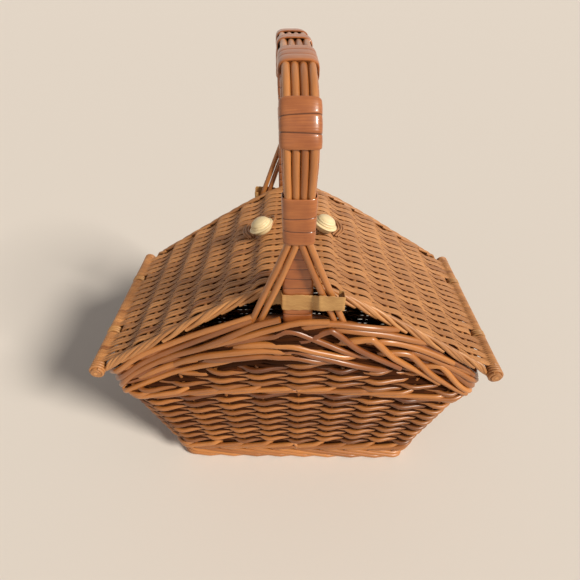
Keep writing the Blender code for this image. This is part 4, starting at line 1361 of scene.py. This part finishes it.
def loft(name, stations, material, closed=False):
    """Skin over rings of points. Each point carries the run of its ring, its way round it,
    and whether two turns meet there, which sets the painted shade of the groove."""
    bm = bmesh.new()
    layers = [bm.verts.layers.float.new(word) for word in ("run", "round", "groove_shade")]
    loops = []
    for ring, run, groove_shade in stations:
        verts = []
        way = 0.0
        for index, point in enumerate(ring):
            vert = bm.verts.new(point)
            way += math.dist(point, ring[index - 1]) if index else 0.0
            for layer, value in zip(layers, (run, way, groove_shade)):
                vert[layer] = value
            verts.append(vert)
        loops.append([bm.edges.new(pair) for pair in zip(verts, verts[1:] + verts[:1])])
    pairs = list(zip(loops, loops[1:]))
    if closed:
        pairs.append((loops[-1], loops[0]))
    for first, second in pairs:
        bmesh.ops.bridge_loops(bm, edges=first + second)
    if not closed:
        bmesh.ops.holes_fill(bm, edges=loops[0] + loops[-1])
    bmesh.ops.recalc_face_normals(bm, faces=bm.faces)
    return add_object(name, bm, material, sharp=50)


def wound_stations(start, turns, outline_at, groove, slant):
    """Rings of a strip wound on the handle, with a groove marked for painted shade where two turns
    meet.
    """
    stations = []
    run = start
    for turn, length in enumerate(turns):
        before = slant * (-0.6 if turn % 2 else 1) if turn else 0.0
        after = slant * (1 if turn % 2 else -0.6) if turn < len(turns) - 1 else 0.0
        middle = (before + after) / 2
        last = turn == len(turns) - 1
        stops = (
            (0.0, -groove, before, 1), (TURN_EDGE, -0.15 * groove, before, 0),
            (3 * TURN_EDGE, 0.0, before, 0), (length * 0.5, 0.12 * MM, middle, 0),
            (length - 3 * TURN_EDGE, 0.0, after, 0),
            (length - TURN_EDGE, -0.15 * groove, after, 0), (length, -groove, after, not last),
        )
        for off, swell, lean, groove_shade in stops[1:] if turn else stops:
            ring = [
                on_arch(run + off + lean * across, across, outward)
                for across, outward in outline_at(swell)
            ]
            stations.append((ring, run + off, float(groove_shade and bool(turn or off))))
        run += length
    return stations


# %% [markdown]
# ## Bow
#
# The bow is the strip of wood that carries the load, and all that is seen of it is its
# winding. So one winding from foot to foot stands for the bow. Its section is nearly a
# rectangle, given by a superellipse, which is flat on its faces and round at its edges.

# %% Bow
BOW_TURN = 9.4 * MM
BOW_GROOVE = 0.4 * MM
BOW_SLANT = 0.03
BOW_SQUARENESS = 4.2


def bow_outline(swell):
    half = BOW_THICKNESS / 2 + min(0.0, swell)
    return strap_outline(BOW_WIDTH / 2 + min(0.0, swell), half, half, BOW_SQUARENESS)


bow_turns = round(2 * ARCH_MIDDLE / BOW_TURN)
turns = [2 * ARCH_MIDDLE / bow_turns] * bow_turns
bow_rings = wound_stations(0.0, turns, bow_outline, BOW_GROOVE, BOW_SLANT)
place_piece(loft("handle_bow_wound", bow_rings, CANE), "basket", "flat_cane", "handle_bow")
print("bow wound with", bow_turns, "turns")

# %% [markdown]
# ## Bands
#
# Seven bands of cane hold the sticks to the bow: two low ones, two at the shoulders and
# three on top, each of two or three turns. A band is a sleeve. Its winding is made as on
# the bow, and plain rings on its inside close it, so that it has a real thickness.

# %% Bands
THIN_STICK = 5.6 * MM
STICK_PITCH = 5.75 * MM
STICK_LIFT = BOW_THICKNESS / 2 + GAP + THIN_STICK / 2
BAND_THICKNESS = 1.0 * MM
BAND_GROOVE = 0.45 * MM
BAND_SLANT = 0.05
BAND_SQUARENESS = 3.6
SHOULDER_BAND_START = 9.4 * MM
SHOULDER_BAND_LENGTH = 26.0 * MM
TOP_BAND_LENGTH = 32.0 * MM
TOP_BAND_REACH = 54.0 * MM
MIDDLE_BAND_LENGTH = 17.0 * MM


def band_outline(swell):
    inner_edge = BOW_THICKNESS / 2 + GAP + swell
    outer_edge = STICK_LIFT + THIN_STICK / 2 + GAP + swell
    return strap_outline(BOW_WIDTH / 2 + GAP + swell, inner_edge, outer_edge, BAND_SQUARENESS)


def make_band(name, start, turns):
    stations = wound_stations(
        start, turns, lambda swell: band_outline(BAND_THICKNESS + swell), BAND_GROOVE, BAND_SLANT
    )
    for share in (1.0, 0.75, 0.5, 0.25, 0.0):
        run = start + sum(turns) * share
        ring = [on_arch(run, across, outward) for across, outward in band_outline(0.0)]
        stations.append((ring, run, 0.0))
    band = loft(name + "_wound", stations, CANE, closed=True)
    place_piece(band, "basket", "flat_cane", name)


def make_pair(name, near_start, length, shares):
    """A band on the near side, and its mirror image on the far side."""
    turns = [length * share for share in shares]
    make_band(name + "_near", near_start, turns)
    make_band(name + "_far", 2 * ARCH_MIDDLE - near_start - length, turns[::-1])


low_start = LOW_BAND_BOTTOM - BOW_END
top_start = ARCH_MIDDLE - TOP_BAND_REACH - TOP_BAND_LENGTH / 2
make_pair("handle_low_band", low_start, LOW_BAND_HEIGHT, (0.30, 0.29, 0.41))
make_pair(
    "handle_shoulder_band", LEG + SHOULDER_BAND_START, SHOULDER_BAND_LENGTH, (0.31, 0.34, 0.35)
)
make_pair("handle_top_band", top_start, TOP_BAND_LENGTH, (0.3, 0.35, 0.35))
middle_start = ARCH_MIDDLE - MIDDLE_BAND_LENGTH / 2
make_band("handle_top_band_middle", middle_start, [MIDDLE_BAND_LENGTH / 2] * 2)

# %% [markdown]
# ## Sticks and braces
#
# Four round sticks lie side by side on the bow's outer face. Under the low bands they end,
# and four braces go on from there: they fan out in two pairs and end in the border. Both
# are curves with a bevel. A brace first runs straight down, until it is clear of the bow,
# and then leans in to its socket.

# %% Sticks and braces
STICK = 6.0 * MM
STICK_SPLIT = LOW_BAND_BOTTOM + LOW_BAND_HEIGHT / 2
STICK_STEPS = 60
STICK_TONES = (0.75, 0.5, 0.25, 0.5)
BRACE_TONES = (0.5, 0.7, 0.35, 0.6)
BRACE_FOOT_GAP = 1.4 * MM
BRACE_FOOT_DEPTH = 2.8 * MM
BRACE_FOOT_INSET = 0.5 * MM
BRACE_SINK = 22.0 * MM
ROD_EDGE = STICK / 2 / math.cos(math.pi / 8)


def stick_offset(index):
    return (index - 1.5) * STICK_PITCH


def make_sticks():
    start = STICK_SPLIT + GAP / 2 - BOW_END
    rods = []
    for index, tone in enumerate(STICK_TONES):
        points = []
        for step in range(STICK_STEPS + 1):
            run = lerp(start, 2 * ARCH_MIDDLE - start, step / STICK_STEPS)
            points.append(on_arch(run, stick_offset(index), STICK_LIFT))
        rods.append(rod(points, THIN_STICK, tone=tone))
    sticks = make_rods("handle_sticks", rods, STICK_WILLOW, sides=14)
    names = [f"handle_stick_{index + 1}" for index in range(4)]
    place_piece(sticks, "basket", "round_sticks", *names)


def brace_path(index, shift):
    """Line of one brace on the near side, from inside the low band to its socket."""
    start_x = stick_offset(index) * (1 - pinch(LOW_BAND_BOTTOM - BOW_END))
    start_y = -HANDLE_SPAN / 2 - STICK_LIFT
    way = -1 if index < 2 else 1
    inner = index in (1, 2)
    foot_x = way * (BRACE_FOOT + (-1 if inner else 1) * (STICK + BRACE_FOOT_GAP) / 2)
    foot_y = -HANDLE_SPAN / 2 - BRACE_FOOT_INSET
    edge = BOW_WIDTH / 2 + ROD_EDGE + GAP
    clear = (edge - abs(start_x)) / (abs(foot_x) - abs(start_x))
    lower = STICK / 2 if inner else 0.0
    knee = Vector((start_x, start_y, LOW_BAND_BOTTOM - lower))
    foot = Vector((foot_x, foot_y, border_top(BRACE_FOOT) - BRACE_FOOT_DEPTH))
    past = knee.lerp(foot, clear)
    past.y = start_y
    sunk = foot + (foot - past).normalized() * BRACE_SINK
    path = [
        (start_x, start_y, STICK_SPLIT - GAP / 2),
        (start_x, start_y, LOW_BAND_BOTTOM + STICK),
        tuple(knee), tuple(past), tuple(foot), tuple(sunk),
    ]
    return [(shift + x, y, z) for x, y, z in path]


def turned(points, side):
    """The near side as it is, or turned half round to the far side."""
    return [(-side * x, -side * y, z) for x, y, z in points]


def make_braces(word, side, shift):
    rods = []
    for index, tone in enumerate(BRACE_TONES):
        rods.append(rod(turned(brace_path(index, shift), side), THIN_STICK, tone=tone))
    braces = make_rods(f"handle_braces_{word}", rods, STICK_WILLOW, sides=14)
    names = [f"handle_brace_{word}_{index + 1}" for index in range(4)]
    place_piece(braces, "basket", "round_sticks", *names)


make_sticks()
make_braces("near", -1, HANDLE_NEAR_SHIFT)
make_braces("far", 1, -HANDLE_FAR_SHIFT)


# %% [markdown]
# ## Pale tie
#
# A strip of pale cane ties each foot of the handle to its braces. It runs behind the left
# pair, over the bow, and round the right pair. Its edges are torn rather than cut.

# %% Ties
TIE_RISE = 22.8 * MM
TIE_HEIGHT = 15.5 * MM
TIE_THICKNESS = 0.8 * MM
TIE_END = 4.0 * MM
TIE_STEP = 1.6 * MM
TIE_FLARE = 0.7
FAR_TIE_DROP = 10 * MM
LOW_TEAR = 0.9 * MM
HIGH_TEAR = 1.1 * MM


def brace_at(index, level):
    """Across and outward place of a brace at a level, counted from the handle's middle."""
    path = brace_path(index, 0.0)
    for above, below in zip(path, path[1:]):
        if above[2] >= level >= below[2]:
            share = (above[2] - level) / (above[2] - below[2])
            return abs(lerp(above[0], below[0], share)), abs(lerp(above[1], below[1], share))
    return abs(path[-1][0]), abs(path[-1][1])


def tie_plan(shift, level):
    bow_front = HANDLE_SPAN / 2 + BOW_THICKNESS / 2 + GAP + TIE_THICKNESS / 2
    near_x, near_y = brace_at(2, level + TIE_HEIGHT / 2)
    far_x, far_y = brace_at(3, level - TIE_HEIGHT / 2)
    front = near_y + ROD_EDGE + 2 * GAP + TIE_THICKNESS / 2
    behind = far_y - ROD_EDGE - 2 * GAP - TIE_THICKNESS / 2
    side = BOW_WIDTH / 2 + GAP + TIE_THICKNESS / 2
    outer = far_x + ROD_EDGE + 2 * GAP + TIE_THICKNESS
    left = near_x + TIE_END
    plan = [
        (-left - TIE_END, behind), (-left, behind), (-side - 2 * TIE_THICKNESS, behind),
        (-side - TIE_THICKNESS / 2, behind + TIE_THICKNESS), (-side, bow_front - TIE_THICKNESS * 2),
        (-side + TIE_THICKNESS, bow_front), (side - TIE_THICKNESS, bow_front),
        (near_x - STICK / 2, front), (outer - TIE_THICKNESS, front),
        (outer, front - TIE_THICKNESS), (outer, behind + TIE_THICKNESS),
        (outer - TIE_THICKNESS, behind), (outer - TIE_END, behind),
    ]
    return [(shift + x, -y) for x, y in plan]


def split_evenly(plan, step):
    """The same line with a point at about every step of its length."""
    out = []
    for a, b in zip(plan, plan[1:]):
        count = max(1, round(math.dist(a, b) / step))
        out += [(lerp(a[0], b[0], i / count), lerp(a[1], b[1], i / count)) for i in range(count)]
    return out + [plan[-1]]


def ribbon_rings(line, lows, highs, thickness):
    """Upright ribbon over a line in plan, with rounded edges."""
    soft = thickness * 0.4
    rings = []
    for index, (point, low, high) in enumerate(zip(line, lows, highs)):
        before = Vector(line[max(0, index - 1)])
        after = Vector(line[min(len(line) - 1, index + 1)])
        along = (after - before).normalized()
        off = Vector((-along.y, along.x)) * (thickness / 2)
        outline = (
            (0, low), (1, low + soft), (1, high - soft),
            (0, high), (-1, high - soft), (-1, low + soft),
        )
        rings.append([(*(Vector(point) + off * way), level) for way, level in outline])
    return rings


def torn_edge(count, most):
    """A wandering edge with small steps."""
    values = []
    value = 0.0
    for _ in range(count):
        value = 0.82 * value + dice.gauss(0, 0.34) * most
        values.append(max(-most, min(most, value)))
    return values


def make_tie(word, side, shift):
    level = border_top(0.0) + TIE_RISE - (FAR_TIE_DROP if side > 0 else 0.0)
    line = split_evenly(tie_plan(shift, level), TIE_STEP)
    under = torn_edge(len(line), LOW_TEAR)
    over = torn_edge(len(line), HIGH_TEAR)
    front = HANDLE_SPAN / 2 + BOW_THICKNESS / 2 + 2 * GAP
    middles = [level + TIE_FLARE * max(0.0, -y - front) for _, y in line]
    lows = [middle - TIE_HEIGHT / 2 + edge for middle, edge in zip(middles, under)]
    highs = [middle + TIE_HEIGHT / 2 + edge for middle, edge in zip(middles, over)]
    rings = ribbon_rings(line, lows, highs, TIE_THICKNESS)
    stations = []
    run = 0.0
    for index, ring in enumerate(rings):
        run += math.dist(ring[0], rings[index - 1][0]) if index else 0.0
        stations.append((turned(ring, side), run, 0.0))
    tie = loft(f"handle_tie_{word}_strip", stations, PALE_TIE)
    place_piece(tie, "basket", "pale_cane", f"handle_tie_{word}")


make_tie("near", -1, HANDLE_NEAR_SHIFT)
make_tie("far", 1, -HANDLE_FAR_SHIFT)

# %% [markdown]
# ## Knobs
#
# Each lid has a turned knob near the ridge, square to the lid. Its foot is a bulb with a
# lip, and a domed cap with a groove sits on it. A collar of cane holds the stem under the
# lid, and a strand of cane is lashed round the stem on top.

# %% Knobs
KNOB_WIDTH = 23.5 * MM
KNOB_HEIGHT = 18.5 * MM
KNOB_SPREAD = 1.07
KNOB_PRESS = 0.88
KNOB_RADIUS = KNOB_SPREAD * KNOB_WIDTH / 2
KNOB_TALL = KNOB_PRESS * KNOB_HEIGHT
KNOB_INSETS = {-1: 33.0 * MM, 1: 26.0 * MM}
STEM_WIDTH = 6.0 * MM
STEM_END = 5.0 * MM
STEM_BEVEL = 0.5 * MM
COLLAR_WIDTH = 12.0 * MM
COLLAR_HEIGHT = 3.0 * MM
COLLAR_ROUND = 0.8 * MM
HOLE_LEVEL = 0.27
HOLE_WIDTH = 1.7 * MM
HOLE_TURN = 22
KNOB_PROFILE = (
    (0.40, 0.00), (0.52, 0.01), (0.66, 0.05), (0.75, 0.12), (0.80, 0.20), (0.82, 0.28),
    (0.85, 0.33), (0.93, 0.36), (1.00, 0.39), (1.03, 0.42), (1.02, 0.455), (0.96, 0.48),
    (0.87, 0.50), (0.83, 0.52), (0.85, 0.545), (0.84, 0.58), (0.80, 0.63), (0.765, 0.64),
    (0.78, 0.665), (0.73, 0.725), (0.68, 0.77), (0.645, 0.775), (0.65, 0.80), (0.56, 0.85),
    (0.42, 0.90), (0.24, 0.935), (0.10, 0.95), (0.0, 0.955),
)


def knob_line(side):
    """Foot of the knob and its direction, square to the lid."""
    x = KNOB_INSETS[side]
    tilt = lid_tilt(x)
    seat = LID_THICKNESS + KNOB_WIDTH / 4 * math.tan(tilt) * (1 - math.cos(tilt)) + 2 * GAP
    foot = Vector((side * x, 0.0, lid_under(x) + seat))
    return foot, Vector((side * math.sin(tilt), 0.0, math.cos(tilt)))


def crown_sag(x, reach):
    """How far the crowned lid drops below its own tangent at a reach to either side."""
    slope = -math.tan(lid_tilt(x))
    return max(lid_under(x) + slope * off - lid_under(x + off) for off in (-reach, reach))


def spin_piece(name, profile, place, material, closed=False):
    """Turned piece from a radius and height profile."""
    bm = bmesh.new()
    verts = [bm.verts.new((radius, 0.0, height)) for radius, height in profile]
    edges = [bm.edges.new(pair) for pair in zip(verts, verts[1:])]
    if closed:
        edges.append(bm.edges.new((verts[-1], verts[0])))
    bmesh.ops.spin(
        bm, geom=verts + edges, angle=2 * math.pi, steps=40, axis=(0.0, 0.0, 1.0),
        cent=(0.0, 0.0, 0.0),
    )
    bmesh.ops.remove_doubles(bm, verts=bm.verts, dist=0.01 * MM)
    bmesh.ops.recalc_face_normals(bm, faces=bm.faces)
    run_layer = bm.verts.layers.float.new("run")
    round_layer = bm.verts.layers.float.new("round")
    for vert in bm.verts:
        vert[run_layer] = vert.co.z
        vert[round_layer] = vert.co.x
    bmesh.ops.transform(bm, matrix=place, verts=bm.verts)
    return add_object(name, bm, material, sharp=60)


def make_knob(word, place, depth):
    """The knob with its stem, from its end under the lid up to the cap."""
    stem = STEM_WIDTH / 2
    end = -depth - STEM_END
    profile = [(0.0, end), (stem - STEM_BEVEL, end), (stem, end + STEM_BEVEL), (stem, 0.0)]
    profile += [(radius * KNOB_RADIUS, up * KNOB_TALL) for radius, up in KNOB_PROFILE]
    knob = spin_piece(f"lid_{word}_knob_turned", profile, place, BEECH)
    place_piece(knob, f"{word}_lid", "turned_beech", f"lid_{word}_knob")


def make_collar(word, side, place, depth):
    bore = STEM_WIDTH / 2 + GAP
    rim = COLLAR_WIDTH / 2
    high = -depth - 5 * GAP - crown_sag(KNOB_INSETS[side], COLLAR_WIDTH / 2)
    low = high - COLLAR_HEIGHT
    ring = (
        (bore, low), (rim - COLLAR_ROUND, low), (rim, low + COLLAR_ROUND),
        (rim, high - COLLAR_ROUND), (rim - COLLAR_ROUND, high), (bore, high),
    )
    collar = spin_piece(f"lid_{word}_collar_wound", ring, place, CANE, closed=True)
    place_piece(collar, f"{word}_lid", "flat_cane", f"lid_{word}_knob_collar")


def make_hole(word, place):
    """A peg with painted shade, which shows as the small hole in the knob's bulb."""
    radii, levels = zip(*KNOB_PROFILE)
    reach = float(np.interp(HOLE_LEVEL, levels, radii)) * KNOB_RADIUS
    level = HOLE_LEVEL * KNOB_TALL
    aside = Matrix.Rotation(math.radians(HOLE_TURN), 3, "Z")
    start = place @ (aside @ Vector((0.0, -(reach - 2 * MM), level + 0.6 * MM)))
    end = place @ (aside @ Vector((0.0, -(reach + 0.2 * MM), level - 0.1 * MM)))
    peg = rod([start, end], HOLE_WIDTH)
    hole = make_rods(f"lid_{word}_knob_hole", [peg], HOLE_SHADE, sides=12)
    place_piece(hole, f"{word}_lid", "turned_beech")


# Each strand has its distance from the knob down the slope, its reach to either side of
# the middle, and its lift, in millimetres.
STRANDS = ((16.5, 15, 1.0), (19.5, 16, 1.6), (22.5, 14, 1.2), (-13.5, 12, 0.8))
STRAND_ROD = 2.6 * MM
STRAND_SHIFT = 17
STRAND_POINTS = 12


def lashing_rods(side):
    """Strands of cane over the weave on both sides of a knob."""
    rods = []
    centre = lid_run(KNOB_INSETS[side])
    for off, reach, lift in STRANDS:
        points = []
        for step in range(STRAND_POINTS + 1):
            share = step / STRAND_POINTS * 2 - 1
            above = LID_THICKNESS / 2 + (lift + 1) * MM - 4.0 * MM * abs(share) ** 4
            run = centre + off * MM - math.copysign(6.0 * MM, off) * share * share
            points.append(on_lid(run, (share * reach + STRAND_SHIFT) * MM, above, side))
        rods.append(rod(points, STRAND_ROD, tone=0.3))
    return rods


for word, side in LIDS:
    foot, way = knob_line(side)
    place = Matrix.Translation(foot) @ way.to_track_quat("Z", "Y").to_matrix().to_4x4()
    depth = LID_THICKNESS * math.cos(lid_tilt(KNOB_INSETS[side]))
    make_knob(word, place, depth)
    make_collar(word, side, place, depth)
    make_hole(word, place)
    lashing = make_rods(f"lid_{word}_knob_lashing", lashing_rods(side), LID_WILLOW)
    place_piece(lashing, f"{word}_lid", "lid_willow")

# %% [markdown]
# ## Pivot sticks and hinge loops
#
# A stout stick runs along the outer edge of each lid, and two loops of pale cane tie it
# down to the border. The loops let it turn, so each lid swings up about its own stick.

# %% Pivot sticks
PIVOT_STICK_NEAR_END = 4.5 * MM
PIVOT_STICK_FAR_END = 0.5 * MM
PIVOT_WIDTHS = (
    (0, 0.9), (0.006, 1.0), (0.25, 0.985), (0.5, 1.0), (0.75, 0.98), (0.994, 1.0), (1, 0.9)
)
COIL_START = 91.5 * MM
COIL_END_GAP = 1.6 * MM
COIL_STEPS = 14
PITH_ROD = 3.4 * MM


def end_coil(side, way, stop):
    """Close turns of a thin rod round the end of a pivot stick."""
    radius = PIVOT_STICK / 2 + LID_ROD / 2 - 0.2 * MM
    turns = (stop - COIL_START) / (1.02 * LID_ROD)
    count = round(turns * COIL_STEPS)
    points = []
    for step in range(count + 1):
        angle = 2 * math.pi * turns * step / count
        x = PIVOT_X + radius * math.sin(angle)
        y = way * lerp(COIL_START, stop, step / count)
        points.append((side * x, y, PIVOT_HEIGHT + radius * math.cos(angle)))
    return rod(points, LID_ROD, 0.5)


def make_pivot_stick(word, side):
    body = f"{word}_lid"
    near = -LID_WIDTH / 2 - PIVOT_STICK_NEAR_END
    far = LID_WIDTH / 2 - PIVOT_STICK_FAR_END
    points = [(side * PIVOT_X, lerp(near, far, share), PIVOT_HEIGHT) for share, _ in PIVOT_WIDTHS]
    widths = [PIVOT_STICK * width for _, width in PIVOT_WIDTHS]
    stick = make_rods(f"lid_{word}_pivot_round", [rod(points, widths, 0.4)], LID_WILLOW, sides=20)
    place_piece(stick, body, "lid_willow", f"lid_{word}_pivot_stick")
    coils = [end_coil(side, -1, -near - COIL_END_GAP), end_coil(side, 1, far - COIL_END_GAP)]
    place_piece(make_rods(f"lid_{word}_end_coils", coils, LID_WILLOW), body, "lid_willow")
    piths = []
    for end, way in ((near, -1), (far, 1)):
        places = (end + way * 0.15 * MM, end - way * 2 * MM)
        piths.append(rod([(side * PIVOT_X, y, PIVOT_HEIGHT) for y in places], PITH_ROD, 0.9))
    pith = make_rods(f"lid_{word}_pivot_pith", piths, LID_WILLOW, sides=12)
    place_piece(pith, body, "lid_willow")


# %% [markdown]
# ## Hinge loops
#
# A hinge loop is a band of cane that comes up the outside of the border, goes round the
# pivot stick and ends short of its own tail. Each is three strands side by side. The
# turn round the stick is an arc, worked out from the place of the border's outer face.

# %% Hinge loops
LOOP_WIDTH = 8.0 * MM
LOOP_THICKNESS = 1.7 * MM
LOOP_SLACK = 0.4 * MM
LOOP_TAIL = 24.0 * MM
LOOP_STRANDS = 3
LOOP_STEPS = 24
LOOP_CANE = willow("hinge cane", (152, 104, 56), (206, 152, 92), (120, 78, 38), 0.5, 0.1)


def make_loop(word, side, end, turn):
    radius = PIVOT_STICK / 2 / math.cos(math.pi / 8) + LOOP_SLACK + LOOP_THICKNESS / 2
    face = BORDER_LENGTH / 2 + GAP + LOOP_THICKNESS / 2
    start = math.asin((face - PIVOT_X) / radius)
    sweep = 2 * math.pi - (LOOP_THICKNESS + 2 * GAP) / radius - abs(start) * 2
    middle = turn * (LID_WIDTH / 2 - EAR_LENGTH - LOOP_WIDTH / 2 - 5 * GAP)
    width = LOOP_WIDTH / LOOP_STRANDS
    low = PIVOT_HEIGHT - radius
    tail = (
        (3.5 * MM, low - LOOP_TAIL + 1 * MM), (0.6 * MM, low - LOOP_TAIL + 4 * MM),
        (0.0, low - LOOP_TAIL * 0.6), (0.0, low - radius * 0.15),
    )
    rods = []
    for strand in range(LOOP_STRANDS):
        y = middle + (strand - (LOOP_STRANDS - 1) / 2) * width
        points = [(side * (face - inset), y, level) for inset, level in tail]
        for step in range(LOOP_STEPS + 1):
            angle = start + sweep * step / LOOP_STEPS
            x = PIVOT_X + radius * math.sin(angle)
            points.append((side * x, y, PIVOT_HEIGHT - radius * math.cos(angle)))
        rods.append(rod(points, width * 0.98))
    loop = make_rods(f"hinge_loop_{word}_{end}_cane", rods, LOOP_CANE)
    place_piece(loop, "basket", "pale_cane", f"hinge_loop_{word}_{end}")


for word, side in LIDS:
    make_pivot_stick(word, side)
    for end, turn in ENDS:
        make_loop(word, side, end, turn)

# %% [markdown]
# ## Floor and light
#
# The basket stands on a plain pale floor. One strong soft lamp stands for a window on the
# right, and a faint one for the rest of the room. The background is pale in what the
# camera sees and in reflections, while its own light on the basket stays weak.

# %% Floor, world and lamps
FLOOR_SIZE = 40.0
WORLD_LIGHT = 0.24


def make_floor():
    bm = bmesh.new()
    bmesh.ops.create_grid(bm, x_segments=1, y_segments=1, size=FLOOR_SIZE)
    material, tree, shader = new_material("pale floor")
    set_inputs(tree, shader, {"Base Color": paint(228, 220, 212), "Roughness": 0.8})
    add_object("floor", bm, material)


def make_world():
    world = bpy.data.worlds.new("room")
    world.use_nodes = True
    tree = world.node_tree
    back = tree.nodes["Background"]
    set_inputs(tree, back, {"Color": paint(235, 230, 226), "Strength": WORLD_LIGHT})
    seen = {"Color": paint(222, 214, 206), "Strength": 1.0}
    path = tree.nodes.new("ShaderNodeLightPath")
    rays = [path.outputs[f"Is {kind} Ray"] for kind in ("Camera", "Glossy", "Transmission")]
    either = add_node(tree, "Math", {0: rays[0], 1: rays[1]}, "Value", operation="MAXIMUM")
    third = add_node(tree, "Math", {0: either, 1: rays[2]}, "Value", operation="MAXIMUM")
    shown = add_node(tree, "Background", seen, "Background")
    mix = {"Fac": third, 1: back.outputs["Background"], 2: shown}
    surface = {"Surface": add_node(tree, "MixShader", mix, "Shader")}
    set_inputs(tree, tree.nodes["World Output"], surface)
    bpy.context.scene.world = world


def make_sun(name, towards, softness, power, colour):
    """Even light from one side, as soft as a wide window."""
    data = bpy.data.lights.new(name, "SUN")
    data.angle = math.radians(softness)
    data.energy = power
    data.color = colour
    lamp = bpy.data.objects.new(name, data)
    bpy.context.scene.collection.objects.link(lamp)
    turn = Vector(towards).to_track_quat("Z", "Y").to_matrix().to_4x4()
    lamp.matrix_world = Matrix.Translation(Vector(towards)) @ turn
    print("lamp:", name, "of strength", power)


make_floor()
make_world()
make_sun("window", (0.70, -0.48, 0.62), softness=14, power=3.9, colour=(1.0, 0.94, 0.84))
make_sun("room", (-0.5, -0.8, 0.45), softness=60, power=0.22, colour=(1.0, 0.95, 0.88))
bpy.context.scene.view_settings.view_transform = "Standard"
